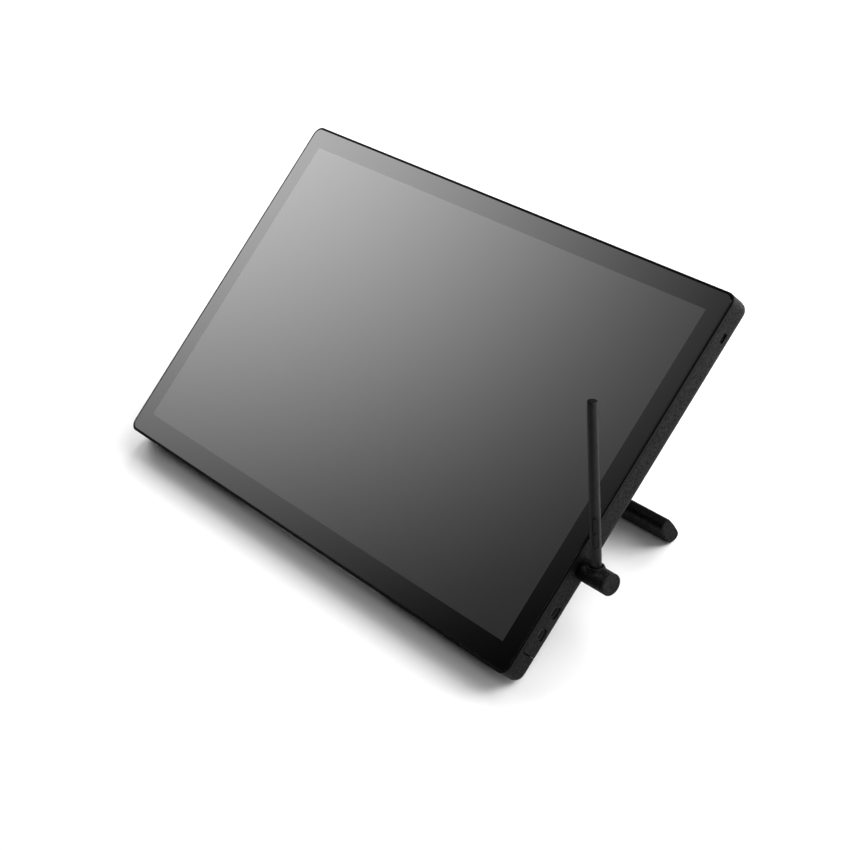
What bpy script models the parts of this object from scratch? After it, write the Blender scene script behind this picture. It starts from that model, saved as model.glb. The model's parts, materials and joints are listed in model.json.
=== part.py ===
"""Pen display tablet on two fold-out legs, with a side pen holder and its pen.

The tablet is modelled lying in its own face frame and then tilted as one piece.
In the face frame X runs to the right, Y runs up the screen and Z points out of the
glass. Z = 0 is the front of the glass, and X = Y = 0 is the middle of the picture.
"""
from math import asin, cos, pi, radians, sin, tan

import bmesh
import bpy
from mathutils import Matrix, Vector

# Driving dimensions, in metres and radians -----------------------------------------
ACTIVE_W = 0.5270          # picture area of a 23.8 inch 16:9 panel
ACTIVE_H = 0.2965
BEZEL_SIDE = 0.0202
BEZEL_TOP = 0.0196
BEZEL_BOTTOM = 0.0218
THICKNESS = 0.0220
CORNER_R = 0.0090          # corners of the outline, seen from the front
BACK_EDGE_R = 0.0060       # rounding from the sides into the back
WALL = 0.0018
GAP = 0.0003               # between neighbours that touch on the real object
TILT = radians(25.0)       # screen from the horizontal, legs open
CUT_OVER = 0.004           # how far a cutter runs past what it cuts
CLEAR_OF_ALL = 0.02        # how far a block that removes one end runs past the body

LEFT = -(ACTIVE_W / 2 + BEZEL_SIDE)
RIGHT = -LEFT
TOP = ACTIVE_H / 2 + BEZEL_TOP
BOTTOM = -(ACTIVE_H / 2 + BEZEL_BOTTOM)
BACK = -THICKNESS
FLOOR_INNER = BACK + WALL  # inner face of the housing's back

# Layers behind the glass: (front, back) along Z
GLASS_Z = (0.0, -0.0011)
FRAME_Z = (-0.0002, -0.0024)
LCD_Z = (-0.0014, -0.0026)
BACKLIGHT_Z = (-0.0029, -0.0054)
SENSOR_Z = (-0.0057, -0.0065)
CHASSIS_Z = (-0.0069, -0.0077)
BOARD_Z = (-0.0081, -0.0093)
HOUSING_FRONT = -0.0027
FRAME_RIM = 0.0021         # width of the black rim round the glass
SPLIT_Y = -0.1470          # seam between the rear housing and the bottom cover

# Legs
HINGE_Y = 0.0150
HINGE_Z = -0.0165
LEG_LEAN = radians(18.0)   # open leg from the normal of the back, towards the bottom edge
LEG_SLOPE = tan(TILT - LEG_LEAN)  # of the desk, seen from the open leg
LEG_IN = 0.1400            # inner side of the arm and of the foot bar
ARM_OUT = 0.2020           # outer side of the arm
LEG_OUT = 0.2775           # outer end of the foot bar
FOOT_HEIGHT = 0.0220
BARREL_R = 0.0046
BARREL_IN = LEG_IN + 0.0104
BARREL_OUT = ARM_OUT - 0.0104
PIN_R = 0.0020
PIN_CLEARANCE = 0.00015
SHOULDER = 0.0100          # from the hinge axis to the wide part of the arm
PAD_STAND = 0.0008         # how far the rubber pads stand out of the foot bar
PAD_LENGTH = 0.0280
PAD_WIDTH = 0.0056
PAD_TOP = PAD_STAND + 0.0009
PAD_INSET = 0.0070         # from the end of the foot bar
POCKET_CLEAR = 0.0010
POCKET_HEAD = HINGE_Y + 0.0070
NOTCH = (0.1950, 0.2250)   # room for a fingertip in front of the folded foot bar
NOTCH_DEPTH = 0.0115
POCKET_FLOOR = -0.0092
TRAY_WALL = 0.0010

# Rubber feet on the lower edge
FOOT_STRIP_IN = 0.1100
FOOT_STRIP_OUT = 0.2500
FOOT_STRIP_R = BACK_EDGE_R + 0.0012
FOOT_STRIP_STEPS = 7
FOOT_STRIP_ARC = radians(56.0)

# Side features
PORT_Y = (-0.1093, -0.1288)
PORT_Z = -0.0113
PORT_RECESS = (0.0104, 0.0072)
PORT_CORNER_R = 0.0016
PORT_MOUTH = (0.00894, 0.00316)
LOCK_Y = 0.1351
LOCK_Z = -0.0120
LOCK_SLOT = (0.0080, 0.0034)
LOCK_CORNER_R = 0.0006
BUTTON_X = 0.2350
BUTTON_Z = -0.0112
BUTTON_SIZE = (0.0150, 0.0040)
BUTTON_STAND = 0.0006
STATUS_SPOT = (BUTTON_X + 0.0130, BUTTON_Z)
STATUS_R = 0.0007
PORT_SUNK = 0.0011         # recess round each socket
VENT_Y = 0.1440
VENT_PITCH = 0.0130
VENT_SIZE = (0.0090, 0.0022)
VENT_NUMBERS = range(2, 10)  # counted from the middle, on both sides

# Pen holder and pen. Heights along the pen are counted from the holder's axis.
HOLDER_Y = -0.0697
HOLDER_Z = -0.0135
HOLDER_R = 0.00905
HOLDER_START = RIGHT + 0.0013
HOLDER_END = RIGHT + 0.0312
HOLDER_CAP = 0.0023
AXLE_R = 0.0030
AXLE_END = -0.0076         # outer end of the axle's room, from the pen's middle
PEN_X = RIGHT + 0.0142
PEN_LEAN = radians(45.1)   # pen from the screen's normal, towards the top edge
PEN_TAIL = 0.1473
PEN_TAIL_R = 0.0040
PEN_SEAM = 0.0538
PEN_R = 0.0043
NOSE_TOP = 0.0084
NOSE_TIP = -0.0030
NIB_TIP = -0.0050
PEN_WALL_R = 0.0032        # inside of the grip and the barrel
SWITCH_TURN = radians(-40.0)  # side keys about the pen, from +X towards the user
KEY_SPANS = {"pen_key_front": (0.0275, 0.0390), "pen_key_rear": (0.0400, 0.0520)}
KEY_WIDTH = 0.0038

# Wall mount
VESA = 0.1000
VESA_PLATE = 0.1174
VESA_CENTRE_Y = (TOP + BOTTOM) / 2
VESA_HOLE_R = 0.0020
VESA_SUNK = 0.0004
VESA_THICK = 0.0020
VESA_CORNER_R = 0.0058

# Screws in the back
SCREW_HEAD_R = 0.0026
SCREW_SHANK_R = 0.0011
SCREW_CLEARANCE = 0.0004
SCREW_SEAT = BACK + 0.0009
SCREWS = [(side * x, y) for side in (-1, 1)
          for x, y in ((0.262, 0.150), (0.060, -0.105), (0.262, -0.1555))]
CORNER_STEPS = 6


# Mesh helpers ----------------------------------------------------------------------
def finish(name, colour, roughness, metallic=0.0):
    material = bpy.data.materials.new(name)
    material.use_nodes = True
    shader = material.node_tree.nodes["Principled BSDF"]
    shader.inputs["Base Color"].default_value = (*colour, 1.0)
    shader.inputs["Roughness"].default_value = roughness
    shader.inputs["Metallic"].default_value = metallic
    return material


def empty(name, parent, location=(0, 0, 0), turn=0.0):
    """An axis or frame that other objects hang from; turn is about X."""
    obj = bpy.data.objects.new(name, None)
    obj.empty_display_size = 0.02
    bpy.context.collection.objects.link(obj)
    obj.parent = parent
    obj.location = location
    obj.rotation_euler = (turn, 0.0, 0.0)
    return obj


def place(name, bm, parent, material, cutter=False):
    bmesh.ops.recalc_face_normals(bm, faces=bm.faces[:])
    mesh = bpy.data.meshes.new(name)
    bm.to_mesh(mesh)
    bm.free()
    mesh.shade_smooth()
    mesh.set_sharp_from_angle(angle=radians(32.0))
    if material:
        mesh.materials.append(material)
    obj = bpy.data.objects.new(name, mesh)
    bpy.context.collection.objects.link(obj)
    obj.parent = parent
    if cutter:
        obj.hide_render = True
        obj.display_type = "WIRE"
    return obj


def boolean(obj, cutter, operation="DIFFERENCE"):
    modifier = obj.modifiers.new(cutter.name, "BOOLEAN")
    modifier.operation = operation
    modifier.solver = "EXACT"
    modifier.object = cutter


def point(a, b, h, axis):
    """A point at height h along an axis; a and b follow in X, Y, Z order."""
    if axis == "X":
        return Vector((h, a, b))
    if axis == "Y":
        return Vector((a, h, b))
    return Vector((a, b, h))


def loft(bm, rings, close=False):
    """Joins rings of equally many points; the end rings are capped unless it closes."""
    loops = [[bm.verts.new(p) for p in ring] for ring in rings]
    pairs = list(zip(loops, loops[1:]))
    if close:
        pairs.append((loops[-1], loops[0]))
    for low, high in pairs:
        for i in range(len(low)):
            j = (i + 1) % len(low)
            bm.faces.new((low[i], low[j], high[j], high[i]))
    if not close:
        bm.faces.new(loops[0])
        bm.faces.new(loops[-1])
    return bm


def prism(outline, low, high, axis="Z", bm=None):
    bm = bm or bmesh.new()
    return loft(bm, [[point(a, b, h, axis) for a, b in outline] for h in (low, high)])


def tube(outer, inner, low, high, axis="Z", bm=None):
    """A prism with a through opening; both outlines have equally many points."""
    bm = bm or bmesh.new()
    rings = [[point(a, b, low, axis) for a, b in outer],
             [point(a, b, high, axis) for a, b in outer],
             [point(a, b, high, axis) for a, b in inner],
             [point(a, b, low, axis) for a, b in inner]]
    return loft(bm, rings, close=True)


def turned(profile, centre, axis="Z", steps=32, bm=None, ring=False):
    """Revolves (height, radius) points. A solid starts and ends at radius 0."""
    bm = bm or bmesh.new()
    a0, b0 = centre
    angles = [2 * pi * i / steps for i in range(steps)]
    loops = []
    for h, r in profile:
        if r == 0:
            loops.append([bm.verts.new(point(a0, b0, h, axis))])
        else:
            loops.append([bm.verts.new(point(a0 + r * cos(t), b0 + r * sin(t), h, axis))
                          for t in angles])
    pairs = list(zip(loops, loops[1:]))
    if ring:
        pairs.append((loops[-1], loops[0]))
    for low, high in pairs:
        for i in range(steps):
            j = (i + 1) % steps
            corners = [low[i % len(low)], low[j % len(low)],
                       high[j % len(high)], high[i % len(high)]]
            bm.faces.new(list(dict.fromkeys(corners)))
    return bm


def rod(low, high, r, centre=(0, 0), axis="Z", steps=24, bm=None):
    return turned([(low, 0), (low, r), (high, r), (high, 0)], centre, axis, steps, bm)


def washer(low, high, inner, outer, centre=(0, 0), axis="Z", steps=24, bm=None):
    profile = [(low, inner), (low, outer), (high, outer), (high, inner)]
    return turned(profile, centre, axis, steps, bm, ring=True)


def rect(a0, b0, a1, b1, r=0.0, steps=CORNER_STEPS):
    """Outline of a rectangle with rounded corners, counter-clockwise."""
    if r <= 0:
        return [(a0, b0), (a1, b0), (a1, b1), (a0, b1)]
    centres = [(a1 - r, b0 + r, -pi / 2), (a1 - r, b1 - r, 0.0),
               (a0 + r, b1 - r, pi / 2), (a0 + r, b0 + r, pi)]
    return [(ca + r * cos(t0 + pi / 2 * i / steps), cb + r * sin(t0 + pi / 2 * i / steps))
            for ca, cb, t0 in centres for i in range(steps + 1)]


def slot(a, b, width, height, steps=6):
    """Outline of a slot with round ends, centred on (a, b)."""
    w, h = width / 2, height / 2
    return rect(a - w, b - h, a + w, b + h, min(w, h) * 0.999, steps)


def panel(a, b, width, height, r, steps=3):
    """Outline of a rectangle with rounded corners, centred on (a, b)."""
    w, h = width / 2, height / 2
    return rect(a - w, b - h, a + w, b + h, r, steps)


def block(low, high, bm=None):
    return prism(rect(low[0], low[1], high[0], high[1]), low[2], high[2], "Z", bm)


def fillet(corners, r, steps=3):
    """Rounds every corner of a polygon with radius r, or each with its own."""
    radii = r if isinstance(r, (list, tuple)) else [r] * len(corners)
    points = []
    for i, corner in enumerate(corners):
        here = Vector(corner)
        back = (Vector(corners[i - 1]) - here).normalized()
        ahead = (Vector(corners[(i + 1) % len(corners)]) - here).normalized()
        half = back.angle(ahead) / 2
        reach = radii[i] * cos(half) / sin(half)
        centre = here + (back + ahead).normalized() * (radii[i] / sin(half))
        start = here + back * reach - centre
        end = here + ahead * reach - centre
        swing = start.angle_signed(end)
        for k in range(steps + 1):
            turn = Matrix.Rotation(-swing * k / steps, 2)
            points.append(tuple(centre + turn @ start))
    return points


def grown(corners, d):
    """Moves every side of a counter-clockwise polygon outwards by d."""
    result = []
    for i, corner in enumerate(corners):
        here = Vector(corner)
        into = (here - Vector(corners[i - 1])).normalized()
        out = (Vector(corners[(i + 1) % len(corners)]) - here).normalized()
        normals = [Vector((v.y, -v.x)) for v in (into, out)]
        middle = (normals[0] + normals[1]).normalized()
        result.append(tuple(here + middle * (d / middle.dot(normals[0]))))
    return result


def mirrored(outline, side):
    return [(side * a, b) for a, b in outline]


def between(side, a, b):
    """Low and high X of a stretch given by its distances from the middle."""
    return sorted((side * a, side * b))


def wider(size):
    """A slot's width and height with the usual gap all round."""
    return [s + 2 * GAP for s in size]


def body_outline(inset):
    """The tablet's outline moved inwards, with its corner radius kept concentric."""
    r = max(CORNER_R - inset, 0.0008)
    return rect(LEFT + inset, BOTTOM + inset, RIGHT - inset, TOP - inset, r)


def at(outline, z):
    return [Vector((x, y, z)) for x, y in outline]


# Display stack ---------------------------------------------------------------------
def make_glass(frame, black):
    edge = 0.00035
    rings = [at(body_outline(FRAME_RIM + edge), GLASS_Z[0]),
             at(body_outline(FRAME_RIM), GLASS_Z[0] - edge),
             at(body_outline(FRAME_RIM), GLASS_Z[1])]
    place("cover_glass", loft(bmesh.new(), rings), frame, black)


def make_front_frame(frame, black):
    """Rim round the glass, with a ledge behind it that the glass is bonded to."""
    chamfer = 0.0004
    ledge = 0.0050
    inner = FRAME_RIM - GAP
    rings = [at(body_outline(chamfer), FRAME_Z[0]),
             at(body_outline(0.0), FRAME_Z[0] - chamfer),
             at(body_outline(0.0), FRAME_Z[1]),
             at(body_outline(ledge), FRAME_Z[1]),
             at(body_outline(ledge), GLASS_Z[1] - GAP),
             at(body_outline(inner), GLASS_Z[1] - GAP),
             at(body_outline(inner), FRAME_Z[0])]
    place("front_frame", loft(bmesh.new(), rings, close=True), frame, black)


def make_display(frame, mats):
    over = 0.0032              # the layers reach past the picture area
    w, h = ACTIVE_W / 2 + over, ACTIVE_H / 2 + over
    cell = rect(-w, -h, w, h, 0.001, 2)
    place("lcd_panel", prism(cell, LCD_Z[1], LCD_Z[0]), frame, mats["cell"])
    place("backlight_unit", prism(cell, BACKLIGHT_Z[1], BACKLIGHT_Z[0]), frame, mats["white"])
    board = rect(-w, -h, w, h)
    place("pen_sensor_board", prism(board, SENSOR_Z[1], SENSOR_Z[0]), frame, mats["board"])
    led_room = 0.0038
    rim = 0.0065
    inner = rect(-w - 2 * GAP, -h - led_room - GAP, w + 2 * GAP, h + 2 * GAP, 0.001, 2)
    outer = rect(-w - rim, -h - led_room - rim, w + rim, h + rim, 0.003, 2)
    place("backlight_frame", tube(outer, inner, SENSOR_Z[1], LCD_Z[0] - GAP), frame,
          mats["plastic"])
    strip = block((-w + 0.004, -h - led_room + GAP, BACKLIGHT_Z[1]),
                  (w - 0.004, -h - GAP, BACKLIGHT_Z[0]))
    place("led_strip", strip, frame, mats["white"])


# Structure and housing -------------------------------------------------------------
def vesa_corners():
    return [(sx * VESA / 2, VESA_CENTRE_Y + sy * VESA / 2) for sx in (-1, 1) for sy in (-1, 1)]


def make_chassis(frame, metal):
    """Aluminium plate behind the display, with hollow posts for the screws in the back."""
    inset = 0.0034
    bite = 0.0004
    plate = prism(body_outline(inset), CHASSIS_Z[1], CHASSIS_Z[0])
    chassis = place("chassis_plate", plate, frame, metal)
    top = CHASSIS_Z[1] + bite
    posts = bmesh.new()
    for spot in SCREWS:
        washer(FLOOR_INNER + GAP, top, SCREW_SHANK_R + GAP, 0.0030, spot, steps=12, bm=posts)
    for spot in vesa_corners():
        low = BACK + VESA_SUNK + VESA_THICK + GAP
        washer(low, top, VESA_HOLE_R, 0.0042, spot, steps=12, bm=posts)
    boolean(chassis, place("join_posts", posts, frame, None, cutter=True), "UNION")


def housing_shell(inset=0.0):
    """Open tub: outer side walls rounded into the back, and the inside offset by WALL."""
    arc = [radians(90.0) * k / 5 for k in range(6)]
    centre_z = BACK + BACK_EDGE_R
    inner_r = BACK_EDGE_R - WALL
    rings = []
    for t in reversed(arc):
        ring = body_outline(BACK_EDGE_R - inner_r * cos(t))
        rings.append(at(ring, centre_z - inner_r * sin(t)))
    rings.append(at(body_outline(WALL), HOUSING_FRONT))
    rings.append(at(body_outline(inset), HOUSING_FRONT))
    outer_r = BACK_EDGE_R - inset
    for t in arc:
        ring = body_outline(BACK_EDGE_R - outer_r * cos(t))
        rings.append(at(ring, centre_z - outer_r * sin(t)))
    return loft(bmesh.new(), rings)


def pocket_corners():
    """Right-hand leg pocket seen from the front: arm, foot bar and a finger notch."""
    c = POCKET_CLEAR
    low = HINGE_Y - leg_reach() - c
    shoulder = low + FOOT_HEIGHT + 3 * c
    notch_low = low + c - NOTCH_DEPTH
    return [(LEG_IN - c, POCKET_HEAD), (LEG_IN - c, low), (NOTCH[0], low),
            (NOTCH[0], notch_low), (NOTCH[1], notch_low), (NOTCH[1], low),
            (LEG_OUT + c, low), (LEG_OUT + c, shoulder),
            (ARM_OUT + c, shoulder), (ARM_OUT + c, POCKET_HEAD)]


def vesa_outline(spare=0.0):
    half = VESA_PLATE / 2 + spare
    return rect(-half, VESA_CENTRE_Y - half, half, VESA_CENTRE_Y + half, VESA_CORNER_R, 4)


def through_back(outline, bm):
    return prism(outline, BACK - CUT_OVER, FLOOR_INNER + CUT_OVER, "Z", bm)


def through_side(outline, bm):
    return prism(outline, RIGHT - CUT_OVER, RIGHT + CUT_OVER, "X", bm)


def screw_cutters(heads, shanks, y_low, y_high):
    """Rooms for the heads and clearance holes for the shanks, for screws in that range."""
    for x, y in SCREWS:
        if y_low < y < y_high:
            rod(BACK - CUT_OVER, SCREW_SEAT, SCREW_HEAD_R + SCREW_CLEARANCE, (x, y),
                steps=14, bm=heads)
            rod(BACK - CUT_OVER, FLOOR_INNER + CUT_OVER, SCREW_SHANK_R + SCREW_CLEARANCE, (x, y),
                steps=12, bm=shanks)


def make_rear_housing(frame, shell):
    housing = place("rear_housing", housing_shell(), frame, shell)
    large = block((LEFT - CLEAR_OF_ALL, BOTTOM - CLEAR_OF_ALL, BACK - CLEAR_OF_ALL),
                  (RIGHT + CLEAR_OF_ALL, SPLIT_Y, CLEAR_OF_ALL))
    pocket = fillet(grown(pocket_corners(), TRAY_WALL + GAP), 0.0030)
    for side in (-1, 1):
        through_back(mirrored(pocket, side), large)
        for number in VENT_NUMBERS:
            vent = slot(side * number * VENT_PITCH, VENT_Y, *VENT_SIZE, steps=2)
            through_back(vent, large)
    through_back(vesa_outline(GAP), large)
    for y in PORT_Y:
        recess = panel(y, PORT_Z, *PORT_RECESS, PORT_CORNER_R)
        prism(recess, RIGHT - PORT_SUNK, RIGHT + CUT_OVER, "X", large)

    heads = bmesh.new()
    small = bmesh.new()
    screw_cutters(heads, small, SPLIT_Y, TOP)
    for y in PORT_Y:
        through_side(slot(y, PORT_Z, *wider(PORT_MOUTH)), small)
    through_side(panel(LOCK_Y, LOCK_Z, *LOCK_SLOT, LOCK_CORNER_R), small)
    rod(RIGHT - CUT_OVER, RIGHT + CUT_OVER, AXLE_R + GAP, (HOLDER_Y, HOLDER_Z), "X", bm=small)
    window = slot(BUTTON_X, BUTTON_Z, *wider(BUTTON_SIZE))
    prism(window, TOP - CUT_OVER, TOP + CUT_OVER, "Y", small)
    rod(TOP - CUT_OVER, TOP + CUT_OVER, STATUS_R + GAP, STATUS_SPOT, "Y", 12, small)
    for name, bm in (("large", large), ("heads", heads), ("small", small)):
        boolean(housing, place("cut_housing_" + name, bm, frame, None, cutter=True))


def make_bottom_cover(frame, shell):
    """Strip along the lower edge, a hair lower than the housing so that the seam shows."""
    cover = place("bottom_cover", housing_shell(inset=0.0001), frame, shell)
    large = block((LEFT - CLEAR_OF_ALL, SPLIT_Y - GAP, BACK - CLEAR_OF_ALL),
                  (RIGHT + CLEAR_OF_ALL, TOP + CLEAR_OF_ALL, CLEAR_OF_ALL))
    heads = bmesh.new()
    shanks = bmesh.new()
    screw_cutters(heads, shanks, BOTTOM, SPLIT_Y)
    for name, bm in (("large", large), ("heads", heads), ("shanks", shanks)):
        boolean(cover, place("cut_cover_" + name, bm, frame, None, cutter=True))


def make_screws(frame, steel):
    crown = 0.0002
    low = BACK + 0.0001
    high = SCREW_SEAT + 0.0060
    for number, spot in enumerate(SCREWS, 1):
        profile = [(low, 0), (low, SCREW_HEAD_R * 0.8), (low + crown, SCREW_HEAD_R),
                   (SCREW_SEAT - GAP, SCREW_HEAD_R), (SCREW_SEAT - GAP, SCREW_SHANK_R),
                   (high, SCREW_SHANK_R), (high, 0)]
        place(f"housing_screw_{number}", turned(profile, spot, steps=14), frame, steel)


def make_vesa_plate(frame, steel):
    """Recessed steel plate with four threaded holes, held off the chassis by posts."""
    outer = BACK + VESA_SUNK
    plate = place("vesa_plate", prism(vesa_outline(), outer, outer + VESA_THICK), frame, steel)
    holes = bmesh.new()
    for centre in vesa_corners():
        rod(BACK - CUT_OVER, BACK + CUT_OVER, VESA_HOLE_R, centre, steps=16, bm=holes)
    boolean(plate, place("cut_vesa_holes", holes, frame, None, cutter=True))


def make_foot_strips(frame, rubber):
    """Rubber feet wrapped round the lower rear edge, with one flat facet on the desk."""
    centre = (BOTTOM + BACK_EDGE_R, BACK + BACK_EDGE_R)
    middle = 1.5 * pi - TILT
    angles = [middle - FOOT_STRIP_ARC / 2 + FOOT_STRIP_ARC * k / FOOT_STRIP_STEPS
              for k in range(FOOT_STRIP_STEPS + 1)]
    outer = [(centre[0] + FOOT_STRIP_R * cos(t), centre[1] + FOOT_STRIP_R * sin(t))
             for t in angles]
    inner_r = BACK_EDGE_R + GAP
    inner = [(centre[0] + inner_r * cos(t), centre[1] + inner_r * sin(t)) for t in angles]
    outline = outer + inner[::-1]
    for side, name in ((-1, "rubber_foot_left"), (1, "rubber_foot_right")):
        strip = prism(outline, *between(side, FOOT_STRIP_IN, FOOT_STRIP_OUT), "X")
        place(name, strip, frame, rubber)


# Electronics -----------------------------------------------------------------------
def make_electronics(frame, mats):
    low, high = BOARD_Z[1], BOARD_Z[0]
    outline = rect(0.0700, -0.1430, 0.2760, -0.0860, 0.002, 2)
    board = place("main_board", prism(outline, low, high), frame, mats["board"])
    under = low - GAP
    bite = 0.0003
    chips = bmesh.new()
    # (middle x, middle y, width, height, how far it stands off the board)
    for x, y, w, h, tall in ((0.240, -0.112, 0.012, 0.012, 0.0012),
                             (0.205, -0.1325, 0.010, 0.006, 0.0010),
                             (0.180, -0.096, 0.008, 0.008, 0.0030),
                             (0.195, -0.096, 0.008, 0.008, 0.0030),
                             (0.225, -0.132, 0.014, 0.009, 0.0011)):
        block((x - w / 2, y - h / 2, low - tall), (x + w / 2, y + h / 2, low + bite), chips)
    boolean(board, place("join_chips", chips, frame, None, cutter=True), "UNION")
    can = block((0.125, -0.136, under - 0.0024), (0.168, -0.098, under))
    place("processor_shield", can, frame, mats["steel"])
    driver = prism(rect(-0.150, -0.1400, 0.030, -0.1180, 0.002, 2), low, high)
    place("panel_driver_board", driver, frame, mats["board"])
    for name, y in (("display", -0.1250), ("sensor", -0.1350)):
        ribbon = block((0.022, y - 0.0035, under - 0.0003), (0.080, y + 0.0035, under))
        place("ribbon_cable_" + name, ribbon, frame, mats["ribbon"])
    button_board = block((BUTTON_X - 0.012, TOP - 0.0100, BUTTON_Z - 0.004),
                         (BUTTON_X + 0.018, TOP - 0.0088, BUTTON_Z + 0.003))
    place("button_board", button_board, frame, mats["board"])


def make_ports(frame, mats):
    """USB-C sockets: a black-plated shell closed at the back round a thin contact tongue."""
    depth = 0.0073
    mouth = RIGHT - PORT_SUNK - 0.0002
    wall = 0.0003
    back_wall = 0.0008
    for name, y in (("upper", PORT_Y[0]), ("lower", PORT_Y[1])):
        outer = slot(y, PORT_Z, *PORT_MOUTH)
        inner = slot(y, PORT_Z, PORT_MOUTH[0] - 2 * wall, PORT_MOUTH[1] - 2 * wall)
        back = mouth - depth
        rings = [[point(a, b, x, "X") for a, b in outline] for outline, x in
                 ((outer, back), (outer, mouth), (inner, mouth), (inner, back + back_wall))]
        place("usb_socket_" + name, loft(bmesh.new(), rings), frame, mats["black_steel"])
        blade = rect(y - 0.0033, PORT_Z - 0.00035, y + 0.0033, PORT_Z + 0.00035, 0.0002, 1)
        tongue = prism(blade, back + back_wall + GAP, mouth - 0.0008, "X")
        place("usb_tongue_" + name, tongue, frame, mats["plastic"])


def make_lock_insert(frame, metal):
    """Black-plated block behind the wall with the security lock's slot through it."""
    front = RIGHT - WALL - GAP
    outer = rect(LOCK_Y - 0.0065, LOCK_Z - 0.0038, LOCK_Y + 0.0065, LOCK_Z + 0.0038, 0.001, 3)
    inner = panel(LOCK_Y, LOCK_Z, *LOCK_SLOT, LOCK_CORNER_R)
    place("lock_slot_insert", tube(outer, inner, front - 0.0018, front, "X"), frame, metal)


def make_power_button(frame, mats):
    """Key on the top edge; it slides in and works a small switch behind it."""
    axis = empty("power_button_axis", frame, (BUTTON_X, TOP, BUTTON_Z))
    w, h = BUTTON_SIZE
    edge = 0.0003
    rings = [(slot(0, 0, w - 0.001, h - 0.001), BUTTON_STAND),
             (slot(0, 0, w, h), BUTTON_STAND - edge), (slot(0, 0, w, h), -0.0046)]
    bm = loft(bmesh.new(), [[point(a, b, y, "Y") for a, b in ring] for ring, y in rings])
    place("power_button", bm, axis, mats["shell"])
    switch = block((BUTTON_X - 0.0032, TOP - 0.0085, BUTTON_Z - 0.0017),
                   (BUTTON_X + 0.0032, TOP - 0.0058, BUTTON_Z + 0.0017))
    place("power_switch", switch, frame, mats["plastic"])
    lens = rod(TOP - 0.0060, TOP - 0.0002, STATUS_R, STATUS_SPOT, "Y", 12)
    place("status_light", lens, frame, mats["white"])


# Legs ------------------------------------------------------------------------------
def desk_level():
    """Height of the desk in the tilted frame, below the face frame's origin."""
    centre = (BOTTOM + BACK_EDGE_R, BACK + BACK_EDGE_R)
    flat = FOOT_STRIP_R * cos(FOOT_STRIP_ARC / FOOT_STRIP_STEPS / 2)
    return centre[0] * sin(TILT) + centre[1] * cos(TILT) - flat


def leg_reach():
    """Distance from the hinge axis to the desk along the open leg."""
    hinge = HINGE_Y * sin(TILT) + HINGE_Z * cos(TILT)
    return (hinge - desk_level()) / cos(TILT - LEG_LEAN)


def foot_profile():
    """Section of the foot bar: thick at the desk, thinner where the arm joins it."""
    base = -leg_reach() + PAD_STAND
    inner, outer = -0.0070, 0.0054
    corners = [(inner, base - inner * LEG_SLOPE), (outer, base - outer * LEG_SLOPE),
               (0.0052, base + 0.0120), (0.0036, base + FOOT_HEIGHT),
               (-0.0066, base + FOOT_HEIGHT)]
    return fillet(corners, [0.0045, 0.0045, 0.0100, 0.0026, 0.0042], 4)


def foot_bar(side):
    """The bar that stands on the desk, with slightly rounded ends."""
    edge = 0.0009
    profile = foot_profile()
    middle = -leg_reach() + PAD_STAND + FOOT_HEIGHT / 2
    small = [(y * 0.87, (z - middle) * 0.92 + middle) for y, z in profile]
    stations = [(LEG_IN, small), (LEG_IN + edge, profile), (LEG_OUT - edge, profile),
                (LEG_OUT, small)]
    rings = [[point(a, b, side * x, "X") for a, b in ring] for x, ring in stations]
    return loft(bmesh.new(), rings)


def arm_outline():
    """Section of the flat arm between the foot bar and the hinge."""
    low = -leg_reach() + PAD_STAND + FOOT_HEIGHT - 0.0060
    return rect(-0.0042, low, 0.0030, -SHOULDER, 0.0012, 2)


def neck_outline():
    """Section of the hinge barrel and the neck that carries it."""
    start, sweep, steps = radians(-40.0), radians(260.0), 14
    angles = [start + sweep * k / steps for k in range(steps + 1)]
    barrel = [(BARREL_R * cos(t), BARREL_R * sin(t)) for t in angles]
    overlap = SHOULDER + 0.002
    return barrel + [(-0.0036, -overlap), (0.0024, -overlap)]


def desk_strip(width, up, down):
    """Section across the foot bar between two heights above the desk."""
    half = width / 2
    rise = half * LEG_SLOPE
    low = down - leg_reach()
    high = up - leg_reach()
    return [(-half, low + rise), (half, low - rise), (half, high - rise), (-half, high + rise)]


def make_leg(frame, side, mats):
    name = "left" if side < 0 else "right"
    hinge = empty("leg_hinge_" + name, frame, (0, HINGE_Y, HINGE_Z), -LEG_LEAN)
    leg = place("leg_" + name, foot_bar(side), hinge, mats["leg"])
    for part, outline, start, end in (("arm", arm_outline(), LEG_IN + 0.0004, ARM_OUT),
                                      ("neck", neck_outline(), BARREL_IN, BARREL_OUT)):
        solid = prism(outline, *between(side, start, end), "X")
        joined = place(f"join_{part}_{name}", solid, hinge, None, cutter=True)
        boolean(leg, joined, "UNION")

    low, high = between(side, BARREL_IN, BARREL_OUT)
    cuts = rod(low - GAP, high + GAP, PIN_R + PIN_CLEARANCE, axis="X", steps=20)
    starts = {"inner": LEG_IN + PAD_INSET, "outer": LEG_OUT - PAD_INSET - PAD_LENGTH}
    for which, start in starts.items():
        end = start + PAD_LENGTH
        seat = desk_strip(PAD_WIDTH + 2 * GAP, PAD_TOP + GAP, -CUT_OVER)
        prism(seat, *between(side, start - GAP, end + GAP), "X", cuts)
        pad = prism(desk_strip(PAD_WIDTH, PAD_TOP, 0.0), *between(side, start, end), "X")
        place(f"leg_pad_{name}_{which}", pad, hinge, mats["rubber"])
    boolean(leg, place("cut_leg_" + name, cuts, hinge, None, cutter=True))
    make_leg_tray(frame, side, name, mats["plastic"])
    make_hinge(frame, side, name, mats["steel"])


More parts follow.
